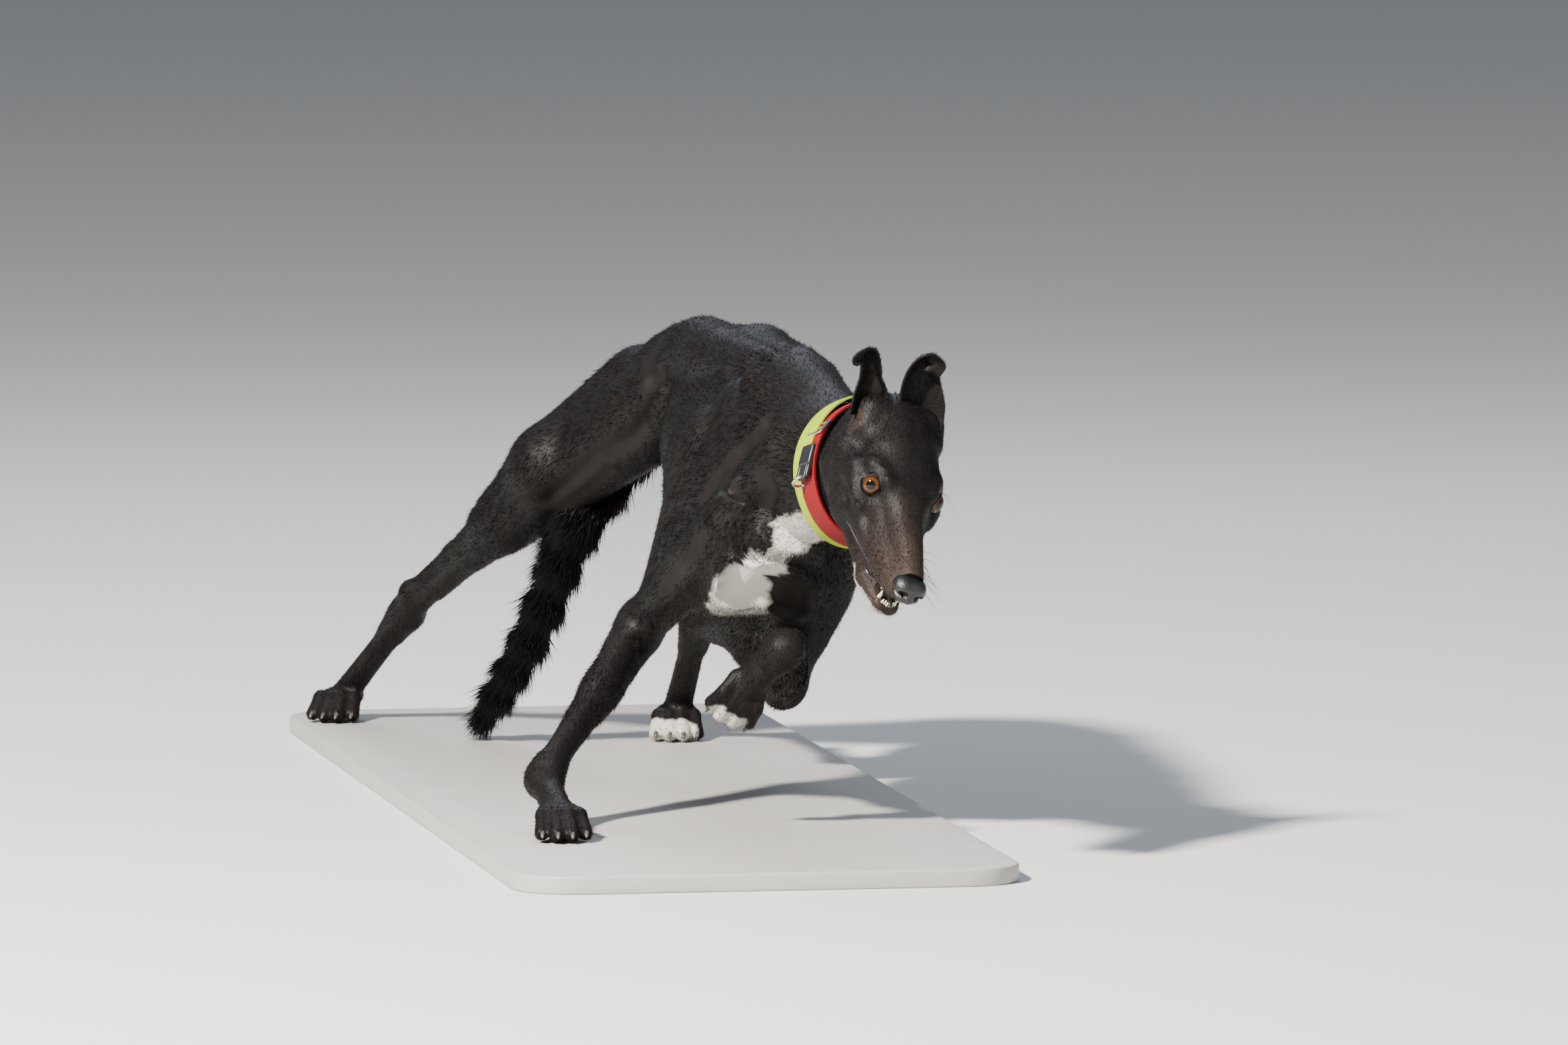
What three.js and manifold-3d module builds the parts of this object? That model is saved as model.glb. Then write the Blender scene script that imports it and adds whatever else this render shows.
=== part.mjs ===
// A greyhound in a low running turn, as a life-size still model on a flat display base.
// Units are millimetres, +Z is up, the dog heads along +X and its right side is toward -Y.
// The flesh is one smooth field of tapered muscle masses. Each named part is a closed skin
// drawn round its own bone line out to that field, and planes part it from its neighbours.
import * as THREE from 'three';
import { mergeVertices } from 'three/addons/utils/BufferGeometryUtils.js';
import Module from 'manifold-3d';

const wasm = await Module();
wasm.setup();

// Driving dimensions of the animal and its base.
const WITHERS_HEIGHT = 471;
const HIP_HEIGHT = 340;
const EYE_RADIUS = 11.5;
const TOE_RADIUS = 9.5;
const CLAW_LENGTH = 15;
const BAND_THICKNESS = 2.4;
const BASE_LENGTH = 1600;
const BASE_WIDTH = 500;
const BASE_THICKNESS = 18;
const BASE_CENTRE_X = -290;
const BASE_CENTRE_Y = -120;
const GAP = 0.3;
// How softly neighbouring muscle masses run into each other.
const BLEND = 6;

const BLACK = 0x1b1a1c;
const GREY = 0x4a4542;
const RED = 0xb01030;
const YELLOW_GREEN = 0xd4f01a;

// A point from plain numbers.
const at = (x, y, z) => new THREE.Vector3(x, y, z);

const BUCKLE_AT = at(236, -55, 352);
const SIDE_RING_AT = at(213, -68, 362);
const LEAD_RING_AT = at(250, -14, 270);

// A place function for a bony frame: x forward, y to the dog's left, z up.
function frame(x, y, z, yaw, pitch, roll) {
  const turn = new THREE.Euler(
    THREE.MathUtils.degToRad(roll), THREE.MathUtils.degToRad(pitch),
    THREE.MathUtils.degToRad(yaw), 'ZYX');
  const matrix = new THREE.Matrix4().makeRotationFromEuler(turn).setPosition(x, y, z);
  const place = (a, b, c) => at(a, b, c).applyMatrix4(matrix);
  place.matrix = matrix;
  place.forward = at(1, 0, 0).applyEuler(turn);
  place.left = at(0, 1, 0).applyEuler(turn);
  place.up = at(0, 0, 1).applyEuler(turn);
  return place;
}

// The three bony frames: ribcage from the withers, pelvis from between the hip joints,
// skull from between the eyes. The dog leans to its left into the turn.
const chest = frame(0, 0, WITHERS_HEIGHT, 0, -3.3, -13.5);
const pelvis = frame(-531, -20, HIP_HEIGHT, -1.3, 7.1, -17.6);
const skull = frame(360, 34, 356, 1, 36.5, -21.4);

// Joints of the four legs and the tail, worked out from the pose.
const foreRight = {
  blade: at(6, -29, 458), shoulder: at(91, -87, 299), elbow: at(-77, -154, 181),
  point: at(-110, -141, 196), wrist: at(75, -278, 50), knuckle: at(160, -276, 24),
  toes: at(222, -280, 10), out: at(-0.2, -0.9, 0.3), front: at(0.4, -0.2, 0.9),
};
const foreLeft = {
  blade: at(10, 19, 439), shoulder: at(93, 8, 267), elbow: at(-61, -11, 127),
  point: at(-96, -9, 128), wrist: at(168, -50, 184), knuckle: at(140, -82, 147), back: at(0.96, -0.1, -0.26),
  toes: at(128, -102, 111), out: at(0, 0.95, -0.2), front: at(0.6, -0.45, 0.6),
};
const hindRight = {
  hip: at(-530, -72, 356), knee: at(-688, -187, 240), hock: at(-899, -265, 120),
  heel: at(-868, -267, 147), knuckle: at(-998, -318, 24), toes: at(-952, -338, 10),
  out: at(0.2, -0.75, 0.6), front: at(0.5, 0.1, -0.85),
};
const hindLeft = {
  hip: at(-532, 33, 323), knee: at(-385, 25, 140), hock: at(-634, 0, 128),
  heel: at(-608, 2, 160), knuckle: at(-750, -3, 26), toes: at(-698, -12, 10),
  out: at(0, 0.95, -0.25), front: at(0.5, 0, -0.85),
};

// The field: every mass is a tapered capsule, flattened along one direction.
const masses = [];
let region = 'trunk';

function mass(from, to, startRadius, endRadius, flat = 1, side = at(0, 1, 0)) {
  const line = to.clone().sub(from);
  const across = side.clone().normalize();
  masses.push([
    from.x, from.y, from.z, line.x, line.y, line.z, Math.max(line.lengthSq(), 0.01),
    startRadius, endRadius - startRadius, across.x, across.y, across.z, 1 / flat - 1,
    region,
  ]);
}

// The field is negative inside the flesh, and about the distance in millimetres near the skin.
function field(x, y, z, without) {
  let sum = 0;
  for (const m of masses) {
    if (without.includes(m[13])) continue;
    const px = x - m[0];
    const py = y - m[1];
    const pz = z - m[2];
    const t = Math.min(Math.max((px * m[3] + py * m[4] + pz * m[5]) / m[6], 0), 1);
    let qx = px - t * m[3];
    let qy = py - t * m[4];
    let qz = pz - t * m[5];
    if (m[12] !== 0) {
      const s = (qx * m[9] + qy * m[10] + qz * m[11]) * m[12];
      qx += s * m[9];
      qy += s * m[10];
      qz += s * m[11];
    }
    const d = Math.sqrt(qx * qx + qy * qy + qz * qz) - m[7] - t * m[8];
    if (d < 60) sum += Math.exp(-d / BLEND);
  }
  return sum > 0 ? -BLEND * Math.log(sum) : 60;
}

// A point part of the way along a bone, moved sideways.
const along = (a, b, t) => a.clone().lerp(b, t);
const shift = (a, direction, distance) =>
  a.clone().addScaledVector(direction.clone().normalize(), distance);

// Trunk: ribcage, keel, belly and the two long back muscles.
const left = chest.left;
mass(chest(-45, 0, -158), chest(-150, 0, -146), 136, 124, 0.6, left);
mass(chest(-150, 0, -138), chest(-275, 0, -108), 122, 92, 0.7, left);
mass(chest(-275, 0, -106), pelvis(90, 0, 52), 90, 66, 0.84, left);
mass(pelvis(95, 0, 50), pelvis(-30, 0, 35), 64, 66, 0.9, pelvis.left);
mass(pelvis(-30, 0, 35), pelvis(-78, 0, 40), 55, 36);
mass(chest(112, 0, -226), chest(-60, 0, -274), 27, 22);
mass(chest(-60, 0, -274), chest(-190, 0, -238), 22, 14);
mass(chest(8, 0, -22), chest(-120, 0, -18), 17, 16);
mass(chest(-110, 0, -26), chest(-270, 6, -20), 22, 34);
mass(chest(-270, 6, -20), pelvis(80, 4, 98), 34, 34);
for (const s of [-1, 1]) {
  mass(chest(-50, s * 28, -34), chest(-250, s * 34, -32), 26, 34);
  mass(chest(-250, s * 34, -32), pelvis(85, s * 34, 92), 34, 38);
  mass(pelvis(88, s * 38, 92), pelvis(-20, s * 40, 50), 34, 40);
  mass(pelvis(20, s * 34, 80), pelvis(-80, s * 26, 45), 34, 28);
  mass(chest(96, s * 24, -238), chest(5, s * 36, -262), 33, 26);
  mass(pelvis(-30, s * 40, 20), pelvis(-88, s * 36, 10), 38, 28);
}

// Neck: deep at its base, then an oval that runs up into the back of the skull.
mass(at(52, -26, 366), at(150, -8, 356), 102, 74, 0.6, left);
mass(at(140, -8, 357), at(226, 18, 354), 74, 60, 0.9, skull.left);
mass(at(226, 18, 354), skull(-90, 0, -24), 59, 50, 0.92, skull.left);
mass(chest(2, 0, -30), at(220, 20, 376), 26, 32);

// Shoulders and upper arms.
region = 'arm';
for (const leg of [foreRight, foreLeft]) {
  const s = leg === foreRight ? -1 : 1;
  mass(leg.blade, leg.shoulder, 22, 32, 0.7, left);
  mass(chest(-28, s * 52, -78), leg.shoulder, 30, 34, 0.62, left);
  mass(chest(-62, s * 66, -120), leg.point, 42, 20, 0.66, leg.out);
  mass(along(leg.shoulder, leg.elbow, 0.1), leg.elbow, 40, 26, 0.8, leg.out);
  mass(shift(along(leg.shoulder, leg.elbow, 0.25), leg.out, 10), leg.point, 32, 20, 0.75, leg.out);
  mass(shift(leg.shoulder, chest.forward, 4), along(leg.shoulder, leg.elbow, 0.6), 33, 26);
  mass(at(150, -8 + s * 40, 372), shift(leg.shoulder, leg.out, 4), 26, 30);
  mass(leg.elbow, leg.point, 21, 13);
}

region = 'forearm';
// Forearms: extensors in front, flexors behind, then tendons down to the wrist.
for (const leg of [foreRight, foreLeft]) {
  const { elbow, wrist, front, out, point } = leg;
  mass(shift(elbow, front, 8), along(elbow, wrist, 0.42), 27, 22, 0.85, out);
  mass(along(elbow, wrist, 0.4), wrist, 21, 14.5, 0.95, out);
  mass(shift(elbow, front, -10), shift(along(elbow, wrist, 0.5), front, -10), 21, 13, 0.85, out);
  mass(point, shift(along(elbow, wrist, 0.35), front, -14), 11, 11);
  mass(along(elbow, wrist, 0.93), along(wrist, leg.knuckle, 0.15), 18, 18, 0.9, front);
  mass(shift(wrist, front, -14), along(wrist, leg.knuckle, 0.1), 11, 13);
}

// Thighs and buttocks: broad and flat seen from behind, thick at the front.
for (const leg of [hindRight, hindLeft]) {
  region = 'thigh';
  const { hip, knee, hock, heel, front, out } = leg;
  const s = leg === hindRight ? -1 : 1;
  const crest = pelvis(82, s * 44, 92);
  const seat = pelvis(-84, s * 42, 12);
  mass(hip, knee, 62, 38, 0.8, out);
  mass(crest, along(hip, knee, 0.75), 32, 34, 0.75, out);
  mass(along(crest, hip, 0.5), knee, 42, 28, 0.8, out);
  mass(shift(seat, out, 12), shift(along(hip, knee, 0.6), out, 20), 44, 44, 0.95, out);
  mass(shift(along(hip, knee, 0.6), out, 20), shift(along(knee, hock, 0.12), out, 6), 44, 27);
  mass(seat, along(knee, hock, 0.34), 34, 20, 0.8, out);
  mass(knee, along(knee, hock, 0.12), 31, 27, 0.85, out);
  mass(shift(knee, front, 6), along(knee, hock, 0.1), 24, 22);
  region = 'shank';
  // Shank: calf behind, shin in front, and the heel cord drawn out to the heel.
  mass(along(knee, hock, 0.05), shift(along(knee, hock, 0.5), front, -6), 30, 18, 0.8, out);
  mass(shift(knee, front, -14), shift(along(knee, hock, 0.5), front, -14), 25, 12, 0.8, out);
  mass(along(knee, hock, 0.1), along(knee, hock, 0.7), 24, 14);
  mass(along(knee, hock, 0.6), hock, 14, 17, 0.85, out);
  mass(shift(along(knee, hock, 0.5), front, -18), heel, 8, 8.5);
  mass(hock, heel, 17, 12, 0.8, out);
  mass(hock, along(hock, leg.knuckle, 0.2), 18, 15);
}

region = 'pastern';
// Pasterns: the straight length between wrist or hock and the toe knuckles.
mass(foreRight.wrist, foreRight.knuckle, 16, 17, 0.8, foreRight.front);
mass(foreLeft.wrist, foreLeft.knuckle, 20, 20, 0.8, foreLeft.front);
for (const leg of [hindRight, hindLeft]) {
  mass(leg.hock, leg.knuckle, 14.5, 16.5, 0.85, leg.front);
}

region = 'tail';
// Tail: a thin whip with its brush, held low and swung to the right.
const tailLine = new THREE.CatmullRomCurve3([
  pelvis(-70, 0, 52), at(-628, -40, 350), at(-606, -128, 238), at(-668, -170, 115),
  at(-748, -205, 27)]);
const tailRadius = (t) => 18 + 14 * Math.sin(Math.PI * Math.min(t * 1.15, 1)) - 8 * t;
for (let i = 0; i < 12; i += 1) {
  const t = i / 12;
  mass(tailLine.getPoint(t), tailLine.getPoint(t + 1 / 12),
    tailRadius(t), tailRadius(t + 1 / 12));
}

region = 'head';
// Head: braincase, brow, cheek bones, chewing muscles, muzzle and lower jaw.
mass(skull(-72, 0, 0), skull(-40, 0, -2), 41, 39, 0.98, skull.left);
mass(skull(-40, 0, -2), skull(6, 0, -14), 36, 29, 1.1, skull.left);
mass(skull(0, 0, -22), skull(106, 0, -34), 32, 16, 0.92, skull.left);
mass(skull(-10, 0, 2), skull(112, 0, -21), 17, 11);
mass(skull(-100, 0, 14), skull(-60, 0, 24), 20, 16);
for (const s of [-1, 1]) {
  mass(skull(-70, s * 40, -18), skull(-6, s * 38, -20), 18, 11);
  mass(skull(-72, s * 34, -44), skull(-24, s * 28, -56), 24, 20);
  mass(skull(-16, s * 32, 6), skull(6, s * 26, 8), 10, 8);
  mass(skull(-6, s * 26, -42), skull(100, s * 10, -40), 17, 11);
  mass(skull(-56, s * 24, -62), skull(60, s * 15, -70), 15, 11);
  mass(skull(60, s * 15, -71), skull(92, s * 7, -74), 11, 9);
  mass(skull(-84, s * 30, 18), skull(-70, s * 34, 10), 20, 16);
}

// A closed geometry as a solid: shared vertices merged, collapsed triangles dropped.
function solidOf(geometry) {
  let plain = geometry.index ? geometry : mergeVertices(geometry);
  plain.deleteAttribute('normal');
  plain.deleteAttribute('uv');
  plain = mergeVertices(plain, 1e-3);
  const order = plain.index.array;
  const kept = [];
  for (let i = 0; i < order.length; i += 3) {
    const [a, b, c] = [order[i], order[i + 1], order[i + 2]];
    if (a !== b && b !== c && c !== a) kept.push(a, b, c);
  }
  return new wasm.Manifold(new wasm.Mesh({
    numProp: 3,
    vertProperties: new Float32Array(plain.attributes.position.array),
    triVerts: new Uint32Array(kept),
  }));
}

// Distance from a point inside the flesh to the skin along a direction.
function toSkin(origin, direction, reach, without) {
  const depth = (r) => field(origin.x + direction.x * r, origin.y + direction.y * r,
    origin.z + direction.z * r, without);
  let near = 0;
  let far = 3;
  while (far < reach && depth(far) < 0) {
    near = far;
    far += 5;
  }
  if (far >= reach) return reach;
  for (let i = 0; i < 8; i += 1) {
    const middle = (near + far) / 2;
    if (depth(middle) < 0) near = middle;
    else far = middle;
  }
  return far;
}

// A closed skin round a bone line: a capsule whose points run out to the flesh field.
function sleeve(points, options) {
  const { around = 12, rings = 8, cap = 2, reach = 160, up, grow = 0, without = [] } = options;
  const line = new THREE.CatmullRomCurve3(points);
  const form = new THREE.CapsuleGeometry(1, 2, cap, around, rings);
  const place = form.attributes.position;
  const unit = new THREE.Vector3();
  for (let i = 0; i < place.count; i += 1) {
    unit.fromBufferAttribute(place, i);
    const straight = THREE.MathUtils.clamp(unit.y, -1, 1);
    const t = (straight + 1) / 2;
    const origin = line.getPoint(t);
    const run = line.getTangent(t);
    const side = new THREE.Vector3().crossVectors(up, run).normalize();
    const rise = new THREE.Vector3().crossVectors(run, side);
    const aim = new THREE.Vector3()
      .addScaledVector(rise, unit.x).addScaledVector(run, unit.y - straight)
      .addScaledVector(side, unit.z).normalize();
    const radius = toSkin(origin, aim, reach, without) + grow;
    origin.addScaledVector(aim, radius);
    place.setXYZ(i, origin.x, origin.y, origin.z);
  }
  return solidOf(form);
}

// Half of space as a large block, its face through a point and its body along a direction.
function half(point, direction, clearance = GAP / 2) {
  const size = 3000;
  const block = new THREE.BoxGeometry(size, size, size);
  const way = direction.clone().normalize();
  const turn = new THREE.Quaternion().setFromUnitVectors(at(0, 0, 1), way);
  const centre = point.clone().addScaledVector(way, size / 2 + clearance);
  block.applyMatrix4(new THREE.Matrix4().compose(centre, turn, at(1, 1, 1)));
  return solidOf(block);
}

// A block in a bony frame, between two corners.
function blockIn(bone, low, high) {
  const size = high.clone().sub(low);
  const middle = high.clone().add(low).multiplyScalar(0.5);
  const block = new THREE.BoxGeometry(size.x, size.y, size.z);
  block.translate(middle.x, middle.y, middle.z);
  block.applyMatrix4(bone.matrix);
  return solidOf(block);
}

// An ellipsoid in a bony frame.
function egg(bone, centre, radii, sides = 12) {
  const form = new THREE.SphereGeometry(1, sides, Math.ceil(sides * 0.6));
  form.scale(radii.x, radii.y, radii.z);
  form.translate(centre.x, centre.y, centre.z);
  form.applyMatrix4(bone.matrix);
  return solidOf(form);
}

const group = new THREE.Group();

// Only the largest body of a cut piece is kept, so no loose sliver is left beside it.
function add(name, solid, colour, roughness = 0.7, metalness = 0) {
  const bodies = solid.decompose().sort((a, b) => b.volume() - a.volume());
  const { vertProperties, triVerts } = bodies[0].getMesh();
  const geometry = new THREE.BufferGeometry();
  geometry.setAttribute('position', new THREE.BufferAttribute(vertProperties, 3));
  geometry.setIndex(new THREE.BufferAttribute(triVerts, 1));
  geometry.computeVertexNormals();
  const material = new THREE.MeshStandardMaterial({ color: colour, roughness, metalness });
  const mesh = new THREE.Mesh(geometry, material);
  mesh.name = name;
  group.add(mesh);
}

// Parting planes of the head, the neck and the tail.
const neckSeat = chest(96, 0, -70);
const neckWay = at(0.86, 0.05, 0.42);
const headSeat = skull(-96, 0, 0);
const headWay = skull.forward.clone().addScaledVector(skull.up, 0.35);
const tailSeat = pelvis(-92, 0, 38);
const tailWay = at(-0.75, -0.35, -0.6);

// Upper legs are parted from the trunk by blocks in the bony frames.
const armBlock = (s) => (gap) => (s < 0
  ? blockIn(chest, at(-165, -400, -460), at(128, -46 - gap, -168 - gap))
  : blockIn(chest, at(-165, 46 + gap, -460), at(128, 400, -168 - gap)));
const thighBlock = (s) => (gap) => (s < 0
  ? blockIn(pelvis, at(-600, -500, -500), at(74 - gap, -34 - gap, 60 - gap))
  : blockIn(pelvis, at(-600, 26 + gap, -500), at(300, 500, 60 - gap)));
const cut = (point, way) => (gap) => half(point, way, gap);

// A piece of flesh and the slightly larger body that its neighbours are cut by.
const taken = [];

function flesh(name, points, options, cuts, margin = 0.5) {
  let body = sleeve(points, options);
  let cutter = sleeve(points, { ...options, grow: margin });
  for (const c of cuts) {
    body = body.intersect(c(GAP / 2));
    cutter = cutter.intersect(c(-GAP / 2));
  }
  for (const other of taken) body = body.subtract(other);
  taken.push(cutter);
  return body;
}

function bisector(a, joint, b) {
  return a.clone().sub(joint).normalize().sub(b.clone().sub(joint).normalize());
}

// One foot: pastern, four toes with their pads, and a claw on each toe.
const CLAW_SIDES = 5;

function claw(name, root, tip) {
  const way = tip.clone().sub(root);
  const form = new THREE.ConeGeometry(3.4, way.length(), CLAW_SIDES, 1);
  const place = form.attributes.position;
  for (let i = 0; i < place.count; i += 1) {
    const t = place.getY(i) / way.length() + 0.5;
    place.setZ(i, place.getZ(i) * 1.25 + 1.6 * (0.5 - t));
  }
  const turn = new THREE.Quaternion().setFromUnitVectors(at(0, 1, 0), way.clone().normalize());
  form.applyQuaternion(turn);
  const middle = root.clone().lerp(tip, 0.5);
  form.translate(middle.x, middle.y, middle.z);
  return solidOf(form);
}

function foot(name, leg, planted) {
  const start = leg.wrist ?? along(leg.hock, leg.knuckle, 0.12);
  const seat = leg.wrist ?? start;
  const back = leg.wrist ? leg.elbow : leg.hock;
  const seatWay = leg.wrist ? bisector(leg.knuckle, seat, back)
    : leg.knuckle.clone().sub(leg.hock);
  let body = sleeve([seat, along(seat, leg.knuckle, 0.5), leg.knuckle], {
    around: 8, rings: 3, cap: 1, reach: 34, up: leg.out,
    without: ['trunk', 'arm', 'thigh', 'tail', 'head'],
  }).intersect(half(seat, seatWay));
  const ahead = leg.toes.clone().sub(leg.knuckle);
  const across = new THREE.Vector3().crossVectors(planted ? at(0, 0, 1) : leg.back, ahead)
    .normalize();
  const rise = new THREE.Vector3().crossVectors(ahead, across).normalize();
  const claws = [];
  for (let i = 0; i < 4; i += 1) {
    const spread = i - 1.5;
    const size = Math.abs(spread) < 1 ? 1 : 0.84;
    const root = leg.knuckle.clone().addScaledVector(across, spread * 9.5);
    const tip = leg.knuckle.clone().addScaledVector(ahead, size)
      .addScaledVector(across, spread * 14.5);
    if (planted) tip.z = TOE_RADIUS - 1;
    const arch = along(root, tip, 0.55).addScaledVector(rise, 9);
    const form = new THREE.CapsuleGeometry(1, 2, 1, 6, 3);
    const place = form.attributes.position;
    const line = new THREE.CatmullRomCurve3([root, arch, tip]);
    for (let k = 0; k < place.count; k += 1) {
      const y = place.getY(k);
      const straight = THREE.MathUtils.clamp(y, -1, 1);
      const p = line.getPoint((straight + 1) / 2);
      const run = line.getTangent((straight + 1) / 2);
      const high = new THREE.Vector3().crossVectors(across, run).normalize();
      const r = TOE_RADIUS * (size < 1 ? 0.94 : 1);
      p.addScaledVector(across, place.getX(k) * r * 0.9)
        .addScaledVector(high, place.getZ(k) * r).addScaledVector(run, (y - straight) * r);
      place.setXYZ(k, p.x, p.y, p.z);
    }
    body = body.add(solidOf(form));
    const run = ahead.clone().normalize();
    const clawRoot = tip.clone().addScaledVector(run, TOE_RADIUS * 0.45).addScaledVector(rise, 2.5);
    const clawTip = clawRoot.clone().addScaledVector(run, CLAW_LENGTH)
      .addScaledVector(rise, planted ? -6 : -4);
    if (planted) clawTip.z = Math.max(clawTip.z, 1.5);
    claws.push(claw(name, clawRoot, clawTip));
  }
  const pad = new THREE.SphereGeometry(1, 8, 4);
  pad.scale(17, 19, 8);
  pad.applyMatrix4(new THREE.Matrix4().makeBasis(ahead.clone().normalize(), across, rise));
  const padAt = along(leg.knuckle, leg.toes, 0.16).addScaledVector(rise, -11);
  pad.translate(padAt.x, planted ? Math.max(padAt.y, -1e9) : padAt.y, planted ? 7.5 : padAt.z);
  body = body.add(solidOf(pad));
  if (planted) body = body.intersect(half(at(0, 0, 0), at(0, 0, 1), 0));
  claws.forEach((c, i) => {
    const tipBody = planted ? c.intersect(half(at(0, 0, 0.4), at(0, 0, 1), 0)) : c;
    body = body.subtract(clawSleeve(tipBody));
    add(`${name}_claw_${i + 1}`, tipBody, 0x3a3836, 0.35);
  });
  for (const other of taken) body = body.subtract(other);
  add(name, body, BLACK);
}

// The claw's own bed in the toe: the claw a little enlarged about its middle.
function clawSleeve(body) {
  const box = body.boundingBox();
  const middle = [0, 1, 2].map((k) => (box.min[k] + box.max[k]) / 2);
  const factor = 1.1;
  return body.translate(middle.map((m) => -m)).scale(factor).translate(middle);
}

const legs = [['right', foreRight, hindRight, -1], ['left', foreLeft, hindLeft, 1]];
for (const [side, fore, hind, s] of legs) {
  const elbowWay = bisector(fore.shoulder, fore.elbow, fore.wrist);
  const kneeWay = bisector(hind.hip, hind.knee, hind.hock);
  const armLine = [fore.shoulder, along(fore.shoulder, fore.elbow, 0.5), fore.elbow];
  add(`${side}_upper_arm`, flesh('arm', armLine,
    { around: 14, rings: 7, cap: 2, reach: 120, up: at(0, 1, 0.2), without: ['forearm'] },
    [armBlock(s), cut(fore.elbow, elbowWay)], 8), BLACK);
  add(`${side}_forearm`, flesh('forearm',
    [fore.elbow, along(fore.elbow, fore.wrist, 0.5), fore.wrist],
    { around: 11, rings: 8, cap: 2, reach: 45, up: fore.out, without: ['trunk', 'head'] },
    [cut(fore.elbow, elbowWay.clone().negate()),
      cut(fore.wrist, bisector(fore.elbow, fore.wrist, fore.knuckle))]), BLACK);
  const thighLine = [hind.hip, along(hind.hip, hind.knee, 0.5), hind.knee];
  add(`${side}_thigh`, flesh('thigh', thighLine,
    { around: 16, rings: 8, cap: 3, reach: 125, up: at(0, 1, 0.2), without: ['shank', 'tail'] },
    [thighBlock(s), cut(hind.knee, kneeWay)], 8), BLACK);
  add(`${side}_shank`, flesh('shank', [hind.knee, along(hind.knee, hind.hock, 0.5), hind.hock],
    { around: 11, rings: 9, cap: 2, reach: 60, up: hind.out, without: ['trunk', 'tail'] },
    [cut(hind.knee, kneeWay.clone().negate()),
      cut(along(hind.hock, hind.knuckle, 0.12), hind.hock.clone().sub(hind.knuckle))]), BLACK);
  foot(`${side}_fore_foot`, fore, side === 'right');
  foot(`${side}_hind_foot`, hind, true);
}

// The tail, and then the trunk with everything taken out of it that hangs on it.
const tailPoints = [0, 0.25, 0.5, 0.75, 1].map((t) => tailLine.getPoint(t));
add('tail', flesh('tail', tailPoints,
  { around: 8, rings: 14, cap: 2, reach: 40, up: at(1, 0, 0), without: ['trunk', 'thigh', 'shank'] },
  [cut(tailSeat, tailWay)]), BLACK);
add('trunk', flesh('trunk', [
  chest(60, 0, -165), chest(-60, 0, -158), chest(-180, 0, -135), chest(-290, 0, -100),
  pelvis(60, 0, 48), pelvis(-10, 0, 35), pelvis(-60, 0, 35),
], {
  around: 24, rings: 18, cap: 1, reach: 230, up: at(0, 0, 1),
  without: ['forearm', 'shank', 'tail', 'head'],
}, [cut(neckSeat, neckWay.clone().negate()), cut(tailSeat, tailWay.clone().negate())]), BLACK);

// Neck and the two collars that lie round it behind the head.
const neckLine = [at(60, -25, 366), at(150, -6, 356), at(226, 18, 354), skull(-80, 0, -15)];
add('neck', flesh('neck', neckLine,
  { around: 18, rings: 8, cap: 1, reach: 150, up: at(0, 0, 1), without: ['forearm'] },
  [cut(neckSeat, neckWay), cut(headSeat, headWay.clone().negate())]), BLACK);

function band(name, centre, way, width, lift, thickness, colour) {
  const profile = [[0, -0.5], [0, 0.5], [1, 0.5], [1, -0.5], [0, -0.5]]
    .map(([r, z]) => new THREE.Vector2(2 + r, z));
  const form = new THREE.LatheGeometry(profile, 24);
  const axis = way.clone().normalize();
  const side = new THREE.Vector3().crossVectors(at(0, 0, 1), axis).normalize();
  const rise = new THREE.Vector3().crossVectors(axis, side);
  const place = form.attributes.position;
  for (let i = 0; i < place.count; i += 1) {
    const [x, y, z] = [place.getX(i), place.getY(i), place.getZ(i)];
    const r = Math.hypot(x, z);
    const aim = side.clone().multiplyScalar(x / r).addScaledVector(rise, z / r);
    const edge = Math.max(...[-0.5, 0, 0.5].map((k) => toSkin(
      centre.clone().addScaledVector(axis, k * width), aim, 120, ['head', 'arm'])));
    const p = centre.clone().addScaledVector(axis, y * width)
      .addScaledVector(aim, edge + lift + (r - 2) * thickness);
    place.setXYZ(i, p.x, p.y, p.z);
  }
  let solid = solidOf(form);
  for (const other of taken) solid = solid.subtract(other);
  add(name, solid, colour, 0.75);
}

const collarCentre = at(226, 20, 356);
const collarWay = at(0.93, 0.28, 0.24);
band('collar_red', collarCentre.clone().addScaledVector(collarWay, 14), collarWay, 25, 1.2,
  BAND_THICKNESS, RED);
band('collar_yellow', collarCentre.clone().addScaledVector(collarWay, -18), collarWay, 32, 1.2,
  BAND_THICKNESS, YELLOW_GREEN);

// Collar fittings: a side-release buckle, a ring beside it and a lead ring at the throat.
function fitting(name, form, place, turn, colour, metalness) {
  form.applyMatrix4(new THREE.Matrix4().makeRotationFromEuler(turn));
  form.translate(place.x, place.y, place.z);
  let solid = solidOf(form);
  for (const other of taken) solid = solid.subtract(other);
  add(name, solid, colour, 0.35, metalness);
}

fitting('collar_buckle', new THREE.BoxGeometry(22, 8, 34), BUCKLE_AT,
  new THREE.Euler(0.12, 0, -0.12), 0x141416, 0);
fitting('collar_side_ring', new THREE.TorusGeometry(8, 1.3, 5, 12), SIDE_RING_AT,
  new THREE.Euler(0, 0.3, 0.4), 0xb8bcc0, 0.9);
fitting('collar_lead_ring', new THREE.TorusGeometry(10, 1.5, 5, 12), LEAD_RING_AT,
  new THREE.Euler(0.2, 0.9, 0), 0xb8bcc0, 0.9);

// Head: one skin, then eyes and nose let into it, and the open mouth cut as a wedge.
const headLine = [skull(-88, 0, -20), skull(-40, 0, -25), skull(20, 0, -36), skull(100, 0, -44)];
let head = flesh('head', headLine,
  { around: 20, rings: 13, cap: 2, reach: 90, up: skull.up, without: ['trunk', 'arm', 'forearm'] },
  [cut(headSeat, headWay)]);

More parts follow.
